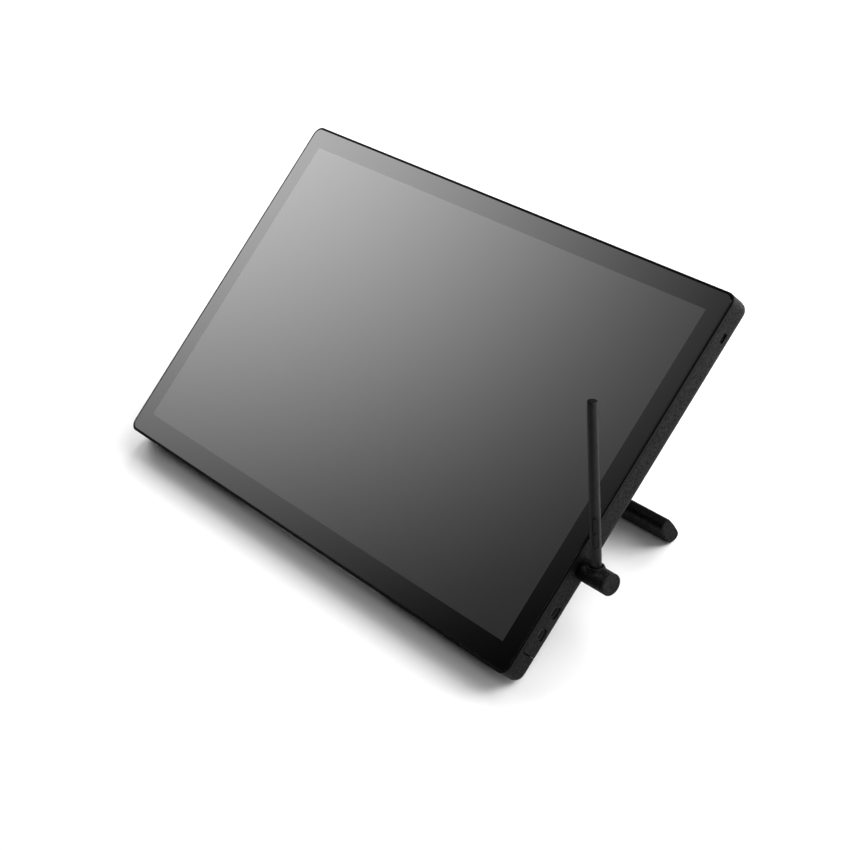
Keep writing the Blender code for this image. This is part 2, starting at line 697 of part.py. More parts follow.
def make_leg_tray(frame, side, name, plastic):
    """Open tray in the housing's back that the leg folds into."""
    inner = mirrored(fillet(pocket_corners(), 0.0020), side)
    outer = mirrored(fillet(grown(pocket_corners(), TRAY_WALL), 0.0028), side)
    mouth = BACK + GAP
    rings = [at(outer, POCKET_FLOOR + TRAY_WALL - 0.0001), at(outer, mouth), at(inner, mouth),
             at(inner, POCKET_FLOOR)]
    place("leg_tray_" + name, loft(bmesh.new(), rings), frame, plastic)


def make_hinge(frame, side, name, steel):
    """Bracket with two ears on the tray's floor, and the pin through them."""
    seat = POCKET_FLOOR - GAP
    web = 0.0012
    steps = 12
    angles = [pi + pi * k / steps for k in range(steps + 1)]
    outline = [(HINGE_Y + BARREL_R * cos(t), HINGE_Z + BARREL_R * sin(t)) for t in angles]
    outline += [(HINGE_Y + BARREL_R, seat), (HINGE_Y - BARREL_R, seat)]
    low, high = between(side, LEG_IN + 0.0010, ARM_OUT - 0.0010)
    bracket = place("hinge_bracket_" + name, prism(outline, low, high, "X"), frame, steel)
    room_low, room_high = between(side, BARREL_IN - 0.0005, BARREL_OUT + 0.0005)
    room = block((room_low, HINGE_Y - 0.01, HINGE_Z - 0.01),
                 (room_high, HINGE_Y + 0.01, seat - web))
    boolean(bracket, place("cut_bracket_room_" + name, room, frame, None, cutter=True))
    centre = (HINGE_Y, HINGE_Z)
    bore = rod(low - CUT_OVER, high + CUT_OVER, PIN_R + GAP, centre, "X", 20)
    boolean(bracket, place("cut_bracket_bore_" + name, bore, frame, None, cutter=True))

    low, high = between(side, LEG_IN + 0.0012, ARM_OUT - 0.0012)
    tip = 0.0003
    pin = [(low, 0), (low, PIN_R - tip), (low + tip, PIN_R), (high - tip, PIN_R),
           (high, PIN_R - tip), (high, 0)]
    place("hinge_pin_" + name, turned(pin, centre, "X", 20), frame, steel)


# Pen holder ------------------------------------------------------------------------
def nose_radius(h):
    """Outer radius of the pen's nose cone at height h."""
    t = (h - NOSE_TIP) / (NOSE_TOP - NOSE_TIP)
    return 0.00145 + (PEN_R - 0.00145) * t ** 0.8


def make_holder(frame, mats):
    pivot = empty("pen_holder_pivot", frame, (PEN_X, HOLDER_Y, HOLDER_Z), -PEN_LEAN)
    start = HOLDER_START - PEN_X
    end = HOLDER_END - HOLDER_CAP - GAP - PEN_X
    edge = 0.0006
    body = [(start, 0), (start, HOLDER_R - edge), (start + edge, HOLDER_R), (end, HOLDER_R), (end, 0)]
    holder = place("pen_holder", turned(body, (0, 0), "X", 40), pivot, mats["shell"])
    bore_low, bore_step, bore_top = -0.0066, 0.0020, 0.0140
    bore = [(bore_low, 0), (bore_low, 0.0046), (bore_step, 0.0046), (bore_step, 0.0064),
            (bore_top, 0.0064), (bore_top, 0)]
    bore = turned(bore, (0, 0), "Z", 28)
    boolean(holder, place("cut_holder_bore", bore, pivot, None, cutter=True))
    axle_room = rod(start - CUT_OVER, AXLE_END, AXLE_R + GAP, axis="X")
    boolean(holder, place("cut_holder_axle", axle_room, pivot, None, cutter=True))

    cone = [NOSE_TIP + (NOSE_TOP - NOSE_TIP) * k / 4 for k in range(5)]
    low = bore_low + GAP
    step = bore_step + GAP
    profile = [(low, 0), (low, 0.0043), (step, 0.0043), (step, 0.0061),
               (0.0092, 0.0061), (0.0096, 0.0057), (0.0092, 0.0050)]
    profile += [(h, nose_radius(h) + 0.00035) for h in reversed(cone)]
    profile += [(-0.0054, 0.0012), (-0.0054, 0)]
    place("holder_sleeve", turned(profile, (0, 0), "Z", 28), pivot, mats["rubber"])

    low, high = HOLDER_END - HOLDER_CAP - PEN_X, HOLDER_END - PEN_X
    groove = 0.0003
    cap = [(low, 0), (low, HOLDER_R), (high - edge, HOLDER_R), (high, HOLDER_R - edge),
           (high, 0.0074), (high - groove, 0.0072), (high - groove, 0.0069), (high, 0.0067),
           (high, 0)]
    place("holder_cap", turned(cap, (0, 0), "X", 40), pivot, mats["shell"])
    make_holder_axle(frame, mats)
    return pivot


def make_holder_axle(frame, mats):
    """Axle through the side wall, with a friction ring outside and a nut inside."""
    centre = (HOLDER_Y, HOLDER_Z)
    inside = RIGHT - WALL
    low = inside - 0.0020
    high = PEN_X + AXLE_END - GAP
    chamfer = 0.0002
    axle = [(low, 0), (low, AXLE_R - chamfer), (low + chamfer, AXLE_R), (high, AXLE_R), (high, 0)]
    place("holder_axle", turned(axle, centre, "X", 24), frame, mats["steel"])
    ring = washer(RIGHT + GAP, HOLDER_START - GAP, AXLE_R + GAP, 0.0060, centre, "X", 28)
    place("holder_friction_ring", ring, frame, mats["plastic"])
    nut = washer(inside - 0.0018, inside - 0.0008, AXLE_R + GAP, 0.0046, centre, "X")
    place("holder_nut", nut, frame, mats["steel"])


# Pen -------------------------------------------------------------------------------
def key_outline(width, inner, outer, steps=6):
    """Section of a side key: flat inside, curved outside, turned to face the user."""
    half = asin(width / 2 / outer)
    arc = [(outer * cos(t), outer * sin(t))
           for t in [-half + 2 * half * k / steps for k in range(steps + 1)]]
    corners = [(inner, -width / 2)] + arc + [(inner, width / 2)]
    turn = Matrix.Rotation(SWITCH_TURN, 2)
    return [tuple(turn @ Vector(c)) for c in corners]


def make_pen(pivot, mats):
    axis = empty("pen_axis", pivot)
    cone = [NOSE_TIP + (NOSE_TOP - NOSE_TIP) * k / 5 for k in range(6)]
    nose = [(h, nose_radius(h)) for h in cone]
    nose += [(NOSE_TOP, PEN_WALL_R - 0.0004), (NOSE_TIP, 0.0010)]
    place("pen_nose", turned(nose, (0, 0), steps=28, ring=True), axis, mats["pen"])
    make_grip(axis, mats)
    make_barrel(axis, mats["pen"])
    core = [(0.0125, 0), (0.0125, 0.0019), (0.0180, 0.0024), (0.1180, 0.0024), (0.1180, 0)]
    place("pen_circuit", turned(core, (0, 0), steps=16), axis, mats["board"])
    r = 0.00075
    nib = [(NIB_TIP, 0), (NIB_TIP + 0.0002, 0.0003), (NIB_TIP + 0.0008, 0.0006),
           (NIB_TIP + 0.0020, r), (0.0118, r), (0.0118, 0)]
    place("pen_nib", turned(nib, (0, 0), steps=16), axis, mats["plastic"])


def make_grip(axis, mats):
    """Grip tube with windows for the two side keys, and the keys."""
    low, high = NOSE_TOP + GAP, PEN_SEAM - GAP / 2
    swell = 0.00005
    profile = [(low, PEN_WALL_R), (low, PEN_R), (0.0300, PEN_R + swell), (high, PEN_R - swell),
               (high, PEN_WALL_R)]
    grip = place("pen_grip", turned(profile, (0, 0), steps=32, ring=True), axis, mats["pen"])
    windows = bmesh.new()
    for name, (low, high) in KEY_SPANS.items():
        window = key_outline(KEY_WIDTH + 2 * GAP, 0.0022, PEN_R + 0.0020)
        prism(window, low - GAP, high + GAP, "Z", windows)
        key = key_outline(KEY_WIDTH, 0.0030, PEN_R + 0.00035)
        place(name, prism(key, low, high), axis, mats["key"])
    boolean(grip, place("cut_grip_windows", windows, axis, None, cutter=True))


def make_barrel(axis, plastic):
    low, high = PEN_SEAM + GAP / 2, PEN_TAIL - 0.0030
    barrel = [(low, PEN_WALL_R), (low, PEN_R - 0.00005), (0.0950, PEN_R - 0.00017),
              (high, PEN_TAIL_R), (high, PEN_WALL_R)]
    place("pen_barrel", turned(barrel, (0, 0), steps=32, ring=True), axis, plastic)
    plug_r = PEN_WALL_R - GAP
    tail = [(high - 0.0050, 0), (high - 0.0050, plug_r), (high + GAP, plug_r),
            (high + GAP, PEN_TAIL_R), (PEN_TAIL - 0.0006, PEN_TAIL_R),
            (PEN_TAIL - 0.0002, PEN_TAIL_R - 0.0004), (PEN_TAIL, PEN_TAIL_R - 0.0010),
            (PEN_TAIL, 0)]
    place("pen_tail_cap", turned(tail, (0, 0), steps=32), axis, plastic)


# Standing pose ---------------------------------------------------------------------
def stand_on_floor(frame):
    """Moves the frame so that the whole object's box stands on the origin."""
    bpy.context.view_layer.update()
    depsgraph = bpy.context.evaluated_depsgraph_get()
    low = Vector((1e9, 1e9, 1e9))
    high = -low
    for obj in bpy.data.objects:
        if obj.type != "MESH" or obj.hide_render:
            continue
        solid = obj.evaluated_get(depsgraph)
        for vertex in solid.data.vertices:
            p = solid.matrix_world @ vertex.co
            low = Vector(map(min, low, p))
            high = Vector(map(max, high, p))
    middle = (low + high) / 2
    frame.location = (-middle.x, -middle.y, -low.z)


def main():
    for obj in list(bpy.data.objects):
        bpy.data.objects.remove(obj, do_unlink=True)
    mats = {
        "glass": finish("black_glass", (0.012, 0.012, 0.013), 0.18),
        "rim": finish("rim_plastic", (0.010, 0.010, 0.011), 0.45),
        "shell": finish("shell_plastic", (0.022, 0.022, 0.024), 0.50),
        "plastic": finish("inner_plastic", (0.016, 0.016, 0.017), 0.60),
        "leg": finish("leg_plastic", (0.020, 0.020, 0.022), 0.55),
        "rubber": finish("rubber", (0.010, 0.010, 0.010), 0.85),
        "pen": finish("pen_plastic", (0.014, 0.014, 0.015), 0.50),
        "key": finish("pen_key_plastic", (0.020, 0.020, 0.022), 0.40),
        "steel": finish("zinc_steel", (0.55, 0.56, 0.58), 0.35, 1.0),
        "black_steel": finish("black_steel", (0.060, 0.060, 0.062), 0.40, 1.0),
        "chassis": finish("chassis_metal", (0.62, 0.63, 0.65), 0.40, 1.0),
        "cell": finish("panel_cell", (0.020, 0.022, 0.028), 0.25),
        "white": finish("diffuser", (0.75, 0.75, 0.76), 0.45),
        "board": finish("circuit_board", (0.015, 0.080, 0.040), 0.45),
        "ribbon": finish("ribbon_film", (0.70, 0.66, 0.52), 0.35),
    }
    frame = empty("tablet_frame", None, turn=TILT)
    make_glass(frame, mats["glass"])
    make_front_frame(frame, mats["rim"])
    make_display(frame, mats)
    make_chassis(frame, mats["chassis"])
    make_rear_housing(frame, mats["shell"])
    make_bottom_cover(frame, mats["shell"])
    make_screws(frame, mats["steel"])
    make_vesa_plate(frame, mats["steel"])
    make_foot_strips(frame, mats["rubber"])
    make_electronics(frame, mats)
    make_ports(frame, mats)
    make_lock_insert(frame, mats["black_steel"])
    make_power_button(frame, mats)
    for side in (-1, 1):
        make_leg(frame, side, mats)
    pivot = make_holder(frame, mats)
    make_pen(pivot, mats)
    stand_on_floor(frame)


main()
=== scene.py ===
import json
from math import asin, cos, pi, radians, sin, sqrt, tan

import bmesh
import bpy
from mathutils import Matrix, Vector


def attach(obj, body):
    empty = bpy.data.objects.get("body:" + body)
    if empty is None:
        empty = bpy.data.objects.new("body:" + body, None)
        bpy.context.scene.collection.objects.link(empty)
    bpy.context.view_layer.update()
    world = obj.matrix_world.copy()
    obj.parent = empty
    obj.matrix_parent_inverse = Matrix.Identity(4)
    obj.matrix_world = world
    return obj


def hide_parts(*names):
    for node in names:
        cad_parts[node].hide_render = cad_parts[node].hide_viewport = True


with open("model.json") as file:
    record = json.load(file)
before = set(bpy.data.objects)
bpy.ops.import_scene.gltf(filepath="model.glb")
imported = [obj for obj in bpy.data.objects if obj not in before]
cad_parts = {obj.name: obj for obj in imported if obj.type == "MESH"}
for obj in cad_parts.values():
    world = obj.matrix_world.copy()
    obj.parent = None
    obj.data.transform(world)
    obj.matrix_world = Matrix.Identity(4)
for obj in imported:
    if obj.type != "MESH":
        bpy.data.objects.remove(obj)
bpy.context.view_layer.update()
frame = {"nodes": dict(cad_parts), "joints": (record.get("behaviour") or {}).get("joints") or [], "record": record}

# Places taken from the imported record, in metres ---------------------------------------
MOUNTS = {m["name"]: m for m in frame["record"]["mounts"]}
JOINTS = {j["name"]: j for j in frame["joints"]}
NODES = frame["nodes"]

BACK_NORMAL = Vector(MOUNTS["wall_mount_face"]["axis"])
TILT = asin(BACK_NORMAL.y)
MOUNT_FACE = Vector((0.0, -0.0011, -0.0216))    # of the wall mount, from the picture's middle
TURN = Matrix.Rotation(TILT, 4, "X")
FACE = Matrix.Translation(
    Vector(MOUNTS["wall_mount_face"]["pos_m"]) - TURN @ MOUNT_FACE) @ TURN

PEN_AXIS = Vector(JOINTS["pen_lift"]["axis"]).normalized()
PEN_SIDE = Vector((1.0, 0.0, 0.0))
PEN = Matrix.Translation(JOINTS["pen_holder_tilt"]["pos_m"]) @ Matrix(
    (PEN_SIDE, PEN_AXIS.cross(PEN_SIDE), PEN_AXIS)).transposed().to_4x4()

LEG_LEAN = radians(18.0)
HINGE = Matrix.Translation(Vector((FACE.translation.x, *JOINTS["leg_right_fold"]["pos_m"][1:])))
LEG = HINGE @ Matrix.Rotation(TILT - LEG_LEAN, 4, "X")

# Sizes of the tablet ------------------------------------------------------------------
PICTURE_W, PICTURE_H = 0.5270, 0.2965
RIGHT = PICTURE_W / 2 + 0.0202
TOP = PICTURE_H / 2 + 0.0196
BOTTOM = -(PICTURE_H / 2 + 0.0218)
BACK = -0.0220
CORNER_R = 0.0090
LEAST_CORNER_R = 0.0008
RIM = 0.0021
GAP = 0.0003


# Mesh helpers -------------------------------------------------------------------------
def point(a, b, h, axis):
    """A point at height h along X or Z; a and b are the other two, in X, Y, Z order."""
    if axis == "X":
        return Vector((h, a, b))
    return Vector((a, b, h))


def loft(rings, close=False):
    """Skin over rings of points; closed end to end, or capped at both ends."""
    bm = bmesh.new()
    loops = [[bm.verts.new(p) for p in ring] for ring in rings]
    pairs = list(zip(loops, loops[1:]))
    if close:
        pairs.append((loops[-1], loops[0]))
    for low, high in pairs:
        for i in range(len(low)):
            j = (i + 1) % len(low)
            bm.faces.new((low[i], low[j], high[j], high[i]))
    if not close:
        bm.faces.new(loops[0])
        bm.faces.new(loops[-1])
    return bm


def angles(steps):
    """Equal steps once round the circle."""
    return [2 * pi * i / steps for i in range(steps)]


def turned(profile, centre=(0.0, 0.0), axis="Z", steps=96, ring=False):
    """Revolves (height, radius) points. A solid starts and ends at radius 0."""
    bm = bmesh.new()
    loops = []
    for h, r in profile:
        count = 1 if r == 0 else steps
        loops.append([bm.verts.new(point(centre[0] + r * cos(t), centre[1] + r * sin(t), h, axis))
                      for t in angles(steps)[:count]])
    pairs = list(zip(loops, loops[1:]))
    if ring:
        pairs.append((loops[-1], loops[0]))
    for low, high in pairs:
        for i in range(steps):
            j = (i + 1) % steps
            corners = [low[i % len(low)], low[j % len(low)],
                       high[j % len(high)], high[i % len(high)]]
            bm.faces.new(list(dict.fromkeys(corners)))
    return bm


def soft_profile(corners, r, steps=5):
    """Rounds the inner points of an open (height, radius) profile with radius r."""
    points = [corners[0]]
    for before, corner, after in zip(corners, corners[1:], corners[2:]):
        here = Vector(corner)
        back = Vector(before) - here
        ahead = Vector(after) - here
        cut = min(r, back.length * 0.45, ahead.length * 0.45)
        start = here + back.normalized() * cut
        end = here + ahead.normalized() * cut
        for k in range(steps + 1):
            t = k / steps
            points.append(tuple(start * (1 - t) ** 2 + here * 2 * t * (1 - t) + end * t ** 2))
    points.append(corners[-1])
    return points


def rect(a0, b0, a1, b1, r, steps=14):
    """Outline of a rectangle with rounded corners, counter-clockwise."""
    centres = [(a1 - r, b0 + r, -pi / 2), (a1 - r, b1 - r, 0.0),
               (a0 + r, b1 - r, pi / 2), (a0 + r, b0 + r, pi)]
    return [(ca + r * cos(t0 + pi / 2 * i / steps), cb + r * sin(t0 + pi / 2 * i / steps))
            for ca, cb, t0 in centres for i in range(steps + 1)]


def body_outline(inset):
    """The body's outline, moved inwards."""
    r = max(CORNER_R - inset, LEAST_CORNER_R)
    return rect(-RIGHT + inset, BOTTOM + inset, RIGHT - inset, TOP - inset, r)


def at(outline, z):
    """The outline as a ring of points at height z."""
    return [Vector((x, y, z)) for x, y in outline]


def fillet(corners, radii):
    """Rounds each corner of a closed polygon with its own radius."""
    steps = 10
    points = []
    for i, corner in enumerate(corners):
        here = Vector(corner)
        back = (Vector(corners[i - 1]) - here).normalized()
        ahead = (Vector(corners[(i + 1) % len(corners)]) - here).normalized()
        half = back.angle(ahead) / 2
        reach = radii[i] * cos(half) / sin(half)
        centre = here + (back + ahead).normalized() * (radii[i] / sin(half))
        start = here + back * reach - centre
        end = here + ahead * reach - centre
        swing = start.angle_signed(end)
        for k in range(steps + 1):
            points.append(tuple(centre + Matrix.Rotation(-swing * k / steps, 2) @ start))
    return points


def smooth_step(t):
    """0 to 1 with soft ends, held outside that range."""
    t = min(max(t, 0.0), 1.0)
    return t * t * (3 - 2 * t)


def flatten_normals(obj):
    """Keeps large flat faces flat where they run into small roundings."""
    modifier = obj.modifiers.new("weighted_normals", "WEIGHTED_NORMAL")
    modifier.keep_sharp = True
    modifier.weight = 100


SHARP = radians(35.0)                           # an edge bent more than this isn't shaded smooth


def build(name, bm, place, sharp=SHARP):
    """A closed mesh object from bm, given in the frame of the matrix place."""
    bmesh.ops.recalc_face_normals(bm, faces=bm.faces[:])
    mesh = bpy.data.meshes.new(name)
    bm.to_mesh(mesh)
    bm.free()
    mesh.transform(place)
    mesh.shade_smooth()
    mesh.set_sharp_from_angle(angle=sharp)
    obj = bpy.data.objects.new(name, mesh)
    bpy.context.scene.collection.objects.link(obj)
    return obj


def cut(obj, bm, place, operation="DIFFERENCE"):
    """Applies a Boolean with a cutter given by bm."""
    cutter = build("cutter", bm, place)
    modifier = obj.modifiers.new("cut", "BOOLEAN")
    modifier.operation = operation
    modifier.solver = "EXACT"
    modifier.object = cutter
    bpy.context.view_layer.update()
    depsgraph = bpy.context.evaluated_depsgraph_get()
    mesh = bpy.data.meshes.new_from_object(obj.evaluated_get(depsgraph))
    obj.modifiers.clear()
    old = obj.data
    obj.data = mesh
    bpy.data.meshes.remove(old)
    bpy.data.objects.remove(cutter)
    mesh.shade_smooth()
    mesh.set_sharp_from_angle(angle=SHARP)


def piece(obj, body, slot, stands_for=()):
    """Puts a finished piece on its body, with its slot's material."""
    obj.data.materials.clear()
    obj.data.materials.append(LOOKS[slot])
    flatten_normals(obj)
    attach(obj, body)
    if stands_for:
        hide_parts(*stands_for)
    return obj


# Materials ----------------------------------------------------------------------------
SHELL_TONE = (0.0034, 0.0034, 0.0036)
SHELL_SHINE = 0.105
# Near-black of the printed glass border, used as well for the painted shade along the housing's seam
BLACK_PRINT_AND_SEAM_SHADE = (0.0002, 0.0002, 0.0002)
MOTTLE = 55.0                                   # cloudy patches per metre
WEAR_PATCHES = 160.0
WORN = 1.35                                     # how much lighter a rubbed edge is
GRAIN_CONTRAST = 0.45
SEAM_Y = -0.14715                               # between the rear housing and the lower cover
SEAM_SHADE_HALF, SEAM_SHADE_FADE = 0.0004, 0.0005           # of the painted shade along it, wider than the real gap


class Look:
    """A node material under construction, with the object's own coordinates at hand."""

    def __init__(self, name, base, roughness, metallic=0.0, specular=0.5):
        self.material = bpy.data.materials.new(name)
        self.material.use_nodes = True
        self.nodes = self.material.node_tree.nodes
        self.links = self.material.node_tree.links
        self.shader = self.nodes["Principled BSDF"]
        self.set("Base Color", (*base, 1.0))
        self.set("Roughness", roughness)
        self.set("Metallic", metallic)
        self.set("Specular IOR Level", specular)
        self.coordinates = self.nodes.new("ShaderNodeTexCoord").outputs["Object"]

    def set(self, name, value):
        self.shader.inputs[name].default_value = value

    def link(self, output, socket):
        self.links.new(output, socket)

    def face_axes(self):
        """X, Y and Z outputs of the tilted face frame."""
        mapping = self.nodes.new("ShaderNodeMapping")
        mapping.vector_type = "TEXTURE"
        mapping.inputs["Location"].default_value = FACE.translation
        mapping.inputs["Rotation"].default_value = (TILT, 0.0, 0.0)
        self.link(self.coordinates, mapping.inputs["Vector"])
        split = self.nodes.new("ShaderNodeSeparateXYZ")
        self.link(mapping.outputs["Vector"], split.inputs["Vector"])
        return split.outputs

    def noise(self, scale, detail=2.0, stretch=None, roughness=0.5):
        """Noise whose scale is in features per metre; stretch scales the axes."""
        texture = self.nodes.new("ShaderNodeTexNoise")
        texture.inputs["Scale"].default_value = scale
        texture.inputs["Detail"].default_value = detail
        texture.inputs["Roughness"].default_value = roughness
        source = self.coordinates
        if stretch:
            mapping = self.nodes.new("ShaderNodeMapping")
            mapping.inputs["Scale"].default_value = stretch
            self.link(source, mapping.inputs["Vector"])
            source = mapping.outputs["Vector"]
        self.link(source, texture.inputs["Vector"])
        return texture.outputs["Fac"]

    def ramp(self, source, low, high, to_low, to_high):
        """Maps low..high to to_low..to_high, held at the ends."""
        node = self.nodes.new("ShaderNodeMapRange")
        node.inputs["From Min"].default_value = low
        node.inputs["From Max"].default_value = high
        node.inputs["To Min"].default_value = to_low
        node.inputs["To Max"].default_value = to_high
        self.link(source, node.inputs["Value"])
        return node.outputs["Result"]

    def math(self, operation, a, b=0.0):
        node = self.nodes.new("ShaderNodeMath")
        node.operation = operation
        for socket, value in zip(node.inputs, (a, b)):
            if isinstance(value, (int, float)):
                socket.default_value = value
            else:
                self.link(value, socket)
        return node.outputs["Value"]

    def mix(self, factor, a, b):
        """Colour b over colour a."""
        node = self.nodes.new("ShaderNodeMix")
        node.data_type = "RGBA"
        self.link(factor, node.inputs["Factor"])
        for socket, value in zip((node.inputs[6], node.inputs[7]), (a, b)):
            if isinstance(value, tuple):
                socket.default_value = (*value, 1.0)
            else:
                self.link(value, socket)
        return node.outputs[2]

    def bump(self, height, distance, soften=None):
        node = self.nodes.new("ShaderNodeBump")
        node.inputs["Distance"].default_value = distance
        node.inputs["Strength"].default_value = 1.0
        self.link(height, node.inputs["Height"])
        if soften:
            self.link(self.soft_normal(soften), node.inputs["Normal"])
        self.link(node.outputs["Normal"], self.shader.inputs["Normal"])

    def soft_normal(self, radius):
        """The surface normal as if edges were rounded with this radius."""
        node = self.nodes.new("ShaderNodeBevel")
        node.samples = 4
        node.inputs["Radius"].default_value = radius
        return node.outputs["Normal"]

    def edges(self, radius):
        """1 along the edges, within the radius, and 0 elsewhere."""
        geometry = self.nodes.new("ShaderNodeNewGeometry")
        dot = self.nodes.new("ShaderNodeVectorMath")
        dot.operation = "DOT_PRODUCT"
        self.link(self.soft_normal(radius), dot.inputs[0])
        self.link(geometry.outputs["Normal"], dot.inputs[1])
        return self.ramp(dot.outputs["Value"], 0.98, 0.80, 0.0, 1.0)


def moulded(name, base, roughness, grain, depth, specular, edge=0.0004, seam=None):
    """Moulded plastic: fine grain, slight mottling, rubbed edges, and painted shade along a seam if one is given.
    """
    look = Look(name, base, roughness, specular=specular)
    mottle = look.noise(MOTTLE, 4.0)
    patches = look.ramp(look.noise(WEAR_PATCHES), 0.35, 0.65, 0.2, 1.0)
    rubbed = look.math("MULTIPLY", look.edges(edge), patches)
    darker = tuple(c * 0.90 for c in base)
    lighter = tuple(c * 1.10 for c in base)
    body = look.mix(look.ramp(mottle, 0.3, 0.7, 0.0, 1.0), darker, lighter)
    colour = look.mix(rubbed, body, tuple(c * WORN for c in base))
    fine = look.noise(grain, 3.0, roughness=0.6)
    speckle = look.noise(grain / 2, 1.0)
    shine = look.ramp(speckle, 0.38, 0.62, specular * (1 - GRAIN_CONTRAST),
                      specular * (1 + GRAIN_CONTRAST))
    # Painted shade: near-black colour and little shine in a band along the seam, wider than its real gap
    if seam is not None:
        away = look.math("ABSOLUTE", look.math("SUBTRACT", look.face_axes()["Y"], seam))
        clear = look.ramp(away, SEAM_SHADE_HALF, SEAM_SHADE_HALF + SEAM_SHADE_FADE, 0.15, 1.0)
        colour = look.mix(clear, BLACK_PRINT_AND_SEAM_SHADE, colour)
        shine = look.math("MULTIPLY", shine, clear)
    look.link(shine, look.shader.inputs["Specular IOR Level"])
    look.link(colour, look.shader.inputs["Base Color"])
    uneven = look.ramp(look.math("ADD", mottle, fine), 0.7, 1.3, roughness - 0.05, roughness + 0.05)
    look.link(look.math("SUBTRACT", uneven, look.math("MULTIPLY", rubbed, 0.10)),
              look.shader.inputs["Roughness"])
    look.bump(fine, depth, soften=edge)
    return look.material


def rubber():
    """Dull black rubber with dust in its pores."""
    tone, dusty = (0.008, 0.008, 0.008), (0.030, 0.029, 0.028)
    look = Look("rubber", tone, 0.80, specular=0.25)
    dust = look.ramp(look.noise(420.0, 5.0, roughness=0.7), 0.56, 0.75, 0.0, 0.5)
    look.link(look.mix(dust, tone, dusty), look.shader.inputs["Base Color"])
    fine = look.noise(5200.0, 2.0)
    look.link(look.ramp(fine, 0.3, 0.7, 0.74, 0.88), look.shader.inputs["Roughness"])
    look.bump(fine, 0.00004, soften=0.0002)
    return look.material


def rim():
    """Moulded rim: its front is printed dull black, its side is like the housing's."""
    look = Look("rim_plastic", SHELL_TONE, 0.50)
    front = look.ramp(look.face_axes()["Z"], -0.0007, -0.0004, 0.0, 1.0)
    mottle = look.ramp(look.noise(MOTTLE, 4.0), 0.3, 0.7, 0.0, 1.0)
    side = look.mix(mottle, tuple(c * 0.9 for c in SHELL_TONE), tuple(c * 1.1 for c in SHELL_TONE))
    look.link(look.mix(front, side, (0.0006, 0.0006, 0.0006)), look.shader.inputs["Base Color"])
    look.link(look.ramp(front, 0.0, 1.0, SHELL_SHINE, 0.04), look.shader.inputs["Specular IOR Level"])
    fine = look.noise(2200.0, 3.0, roughness=0.6)
    look.link(look.ramp(fine, 0.3, 0.7, 0.44, 0.56), look.shader.inputs["Roughness"])
    look.bump(fine, 0.00001, soften=0.0002)
    return look.material


def front_glass():
    """Etched glass over a black printed border and the switched-off picture area."""
    look = Look("black_glass", (0.026, 0.026, 0.027), 0.10, specular=0.5)
    axes = look.face_axes()
    edge = 0.00012
    inside = []
    for axis, half in (("X", PICTURE_W / 2), ("Y", PICTURE_H / 2)):
        away = look.math("ABSOLUTE", axes[axis])
        inside.append(look.ramp(away, half - edge, half + edge, 1.0, 0.0))
    picture = look.math("MULTIPLY", *inside)
    cloud = look.ramp(look.noise(9.0, 3.0), 0.3, 0.7, 0.0, 1.0)
    panel = look.mix(cloud, (0.0290, 0.0290, 0.0296), (0.0312, 0.0312, 0.0316))
    look.link(look.mix(picture, BLACK_PRINT_AND_SEAM_SHADE, panel), look.shader.inputs["Base Color"])
    look.link(look.ramp(picture, 0.0, 1.0, 0.41, 0.50), look.shader.inputs["Specular IOR Level"])
    etching = look.noise(9000.0, 2.0)
    look.link(look.ramp(etching, 0.3, 0.7, 0.09, 0.13), look.shader.inputs["Roughness"])
    look.bump(etching, 0.0000015)
    return look.material


def metal(name, base, roughness, stretch):
    """Plated or pressed metal with rolling marks along one axis and dulled patches."""
    look = Look(name, base, roughness, metallic=1.0)
    marks = look.noise(900.0, 4.0, stretch=stretch, roughness=0.6)
    patch = look.noise(70.0, 4.0)
    tone = look.ramp(patch, 0.3, 0.7, 0.0, 1.0)
    look.link(look.mix(tone, tuple(c * 0.86 for c in base), base), look.shader.inputs["Base Color"])
    spread = look.ramp(look.math("ADD", marks, patch), 0.7, 1.3, roughness - 0.06, roughness + 0.06)
    look.link(spread, look.shader.inputs["Roughness"])
    look.bump(marks, 0.00002, soften=0.0002)
    return look.material


def circuit_board():
    """Green solder mask over straight copper tracks and ground areas."""
    mask, raised = (0.010, 0.055, 0.026), (0.020, 0.105, 0.050)
    look = Look("circuit_board", mask, 0.38)
    tracks = look.nodes.new("ShaderNodeTexBrick")
    tracks.inputs["Scale"].default_value = 300.0
    tracks.inputs["Mortar Size"].default_value = 0.05
    tracks.inputs["Color1"].default_value = (0.0, 0.0, 0.0, 1.0)
    tracks.inputs["Color2"].default_value = (0.25, 0.25, 0.25, 1.0)
    tracks.inputs["Mortar"].default_value = (1.0, 1.0, 1.0, 1.0)
    look.link(look.coordinates, tracks.inputs["Vector"])
    ground = look.ramp(look.noise(60.0), 0.48, 0.52, 0.0, 0.6)
    shade = look.math("MAXIMUM", tracks.outputs["Color"], ground)
    look.link(look.mix(shade, mask, raised), look.shader.inputs["Base Color"])
    look.link(look.ramp(look.noise(2500.0), 0.3, 0.7, 0.33, 0.45), look.shader.inputs["Roughness"])
    look.bump(shade, 0.00003, soften=0.0001)
    return look.material


def film(name, base, roughness, stripe):
    """Plastic film or diffuser with faint stripes."""
    look = Look(name, base, roughness)
    bands = look.noise(stripe, 2.0, stretch=(1.0, 30.0, 1.0))
    tone = look.ramp(bands, 0.35, 0.65, 0.0, 1.0)
    look.link(look.mix(tone, tuple(c * 0.82 for c in base), base), look.shader.inputs["Base Color"])
    look.link(look.ramp(look.noise(1500.0), 0.3, 0.7, roughness - 0.06, roughness + 0.06),
              look.shader.inputs["Roughness"])
    look.bump(bands, 0.00002)
    return look.material


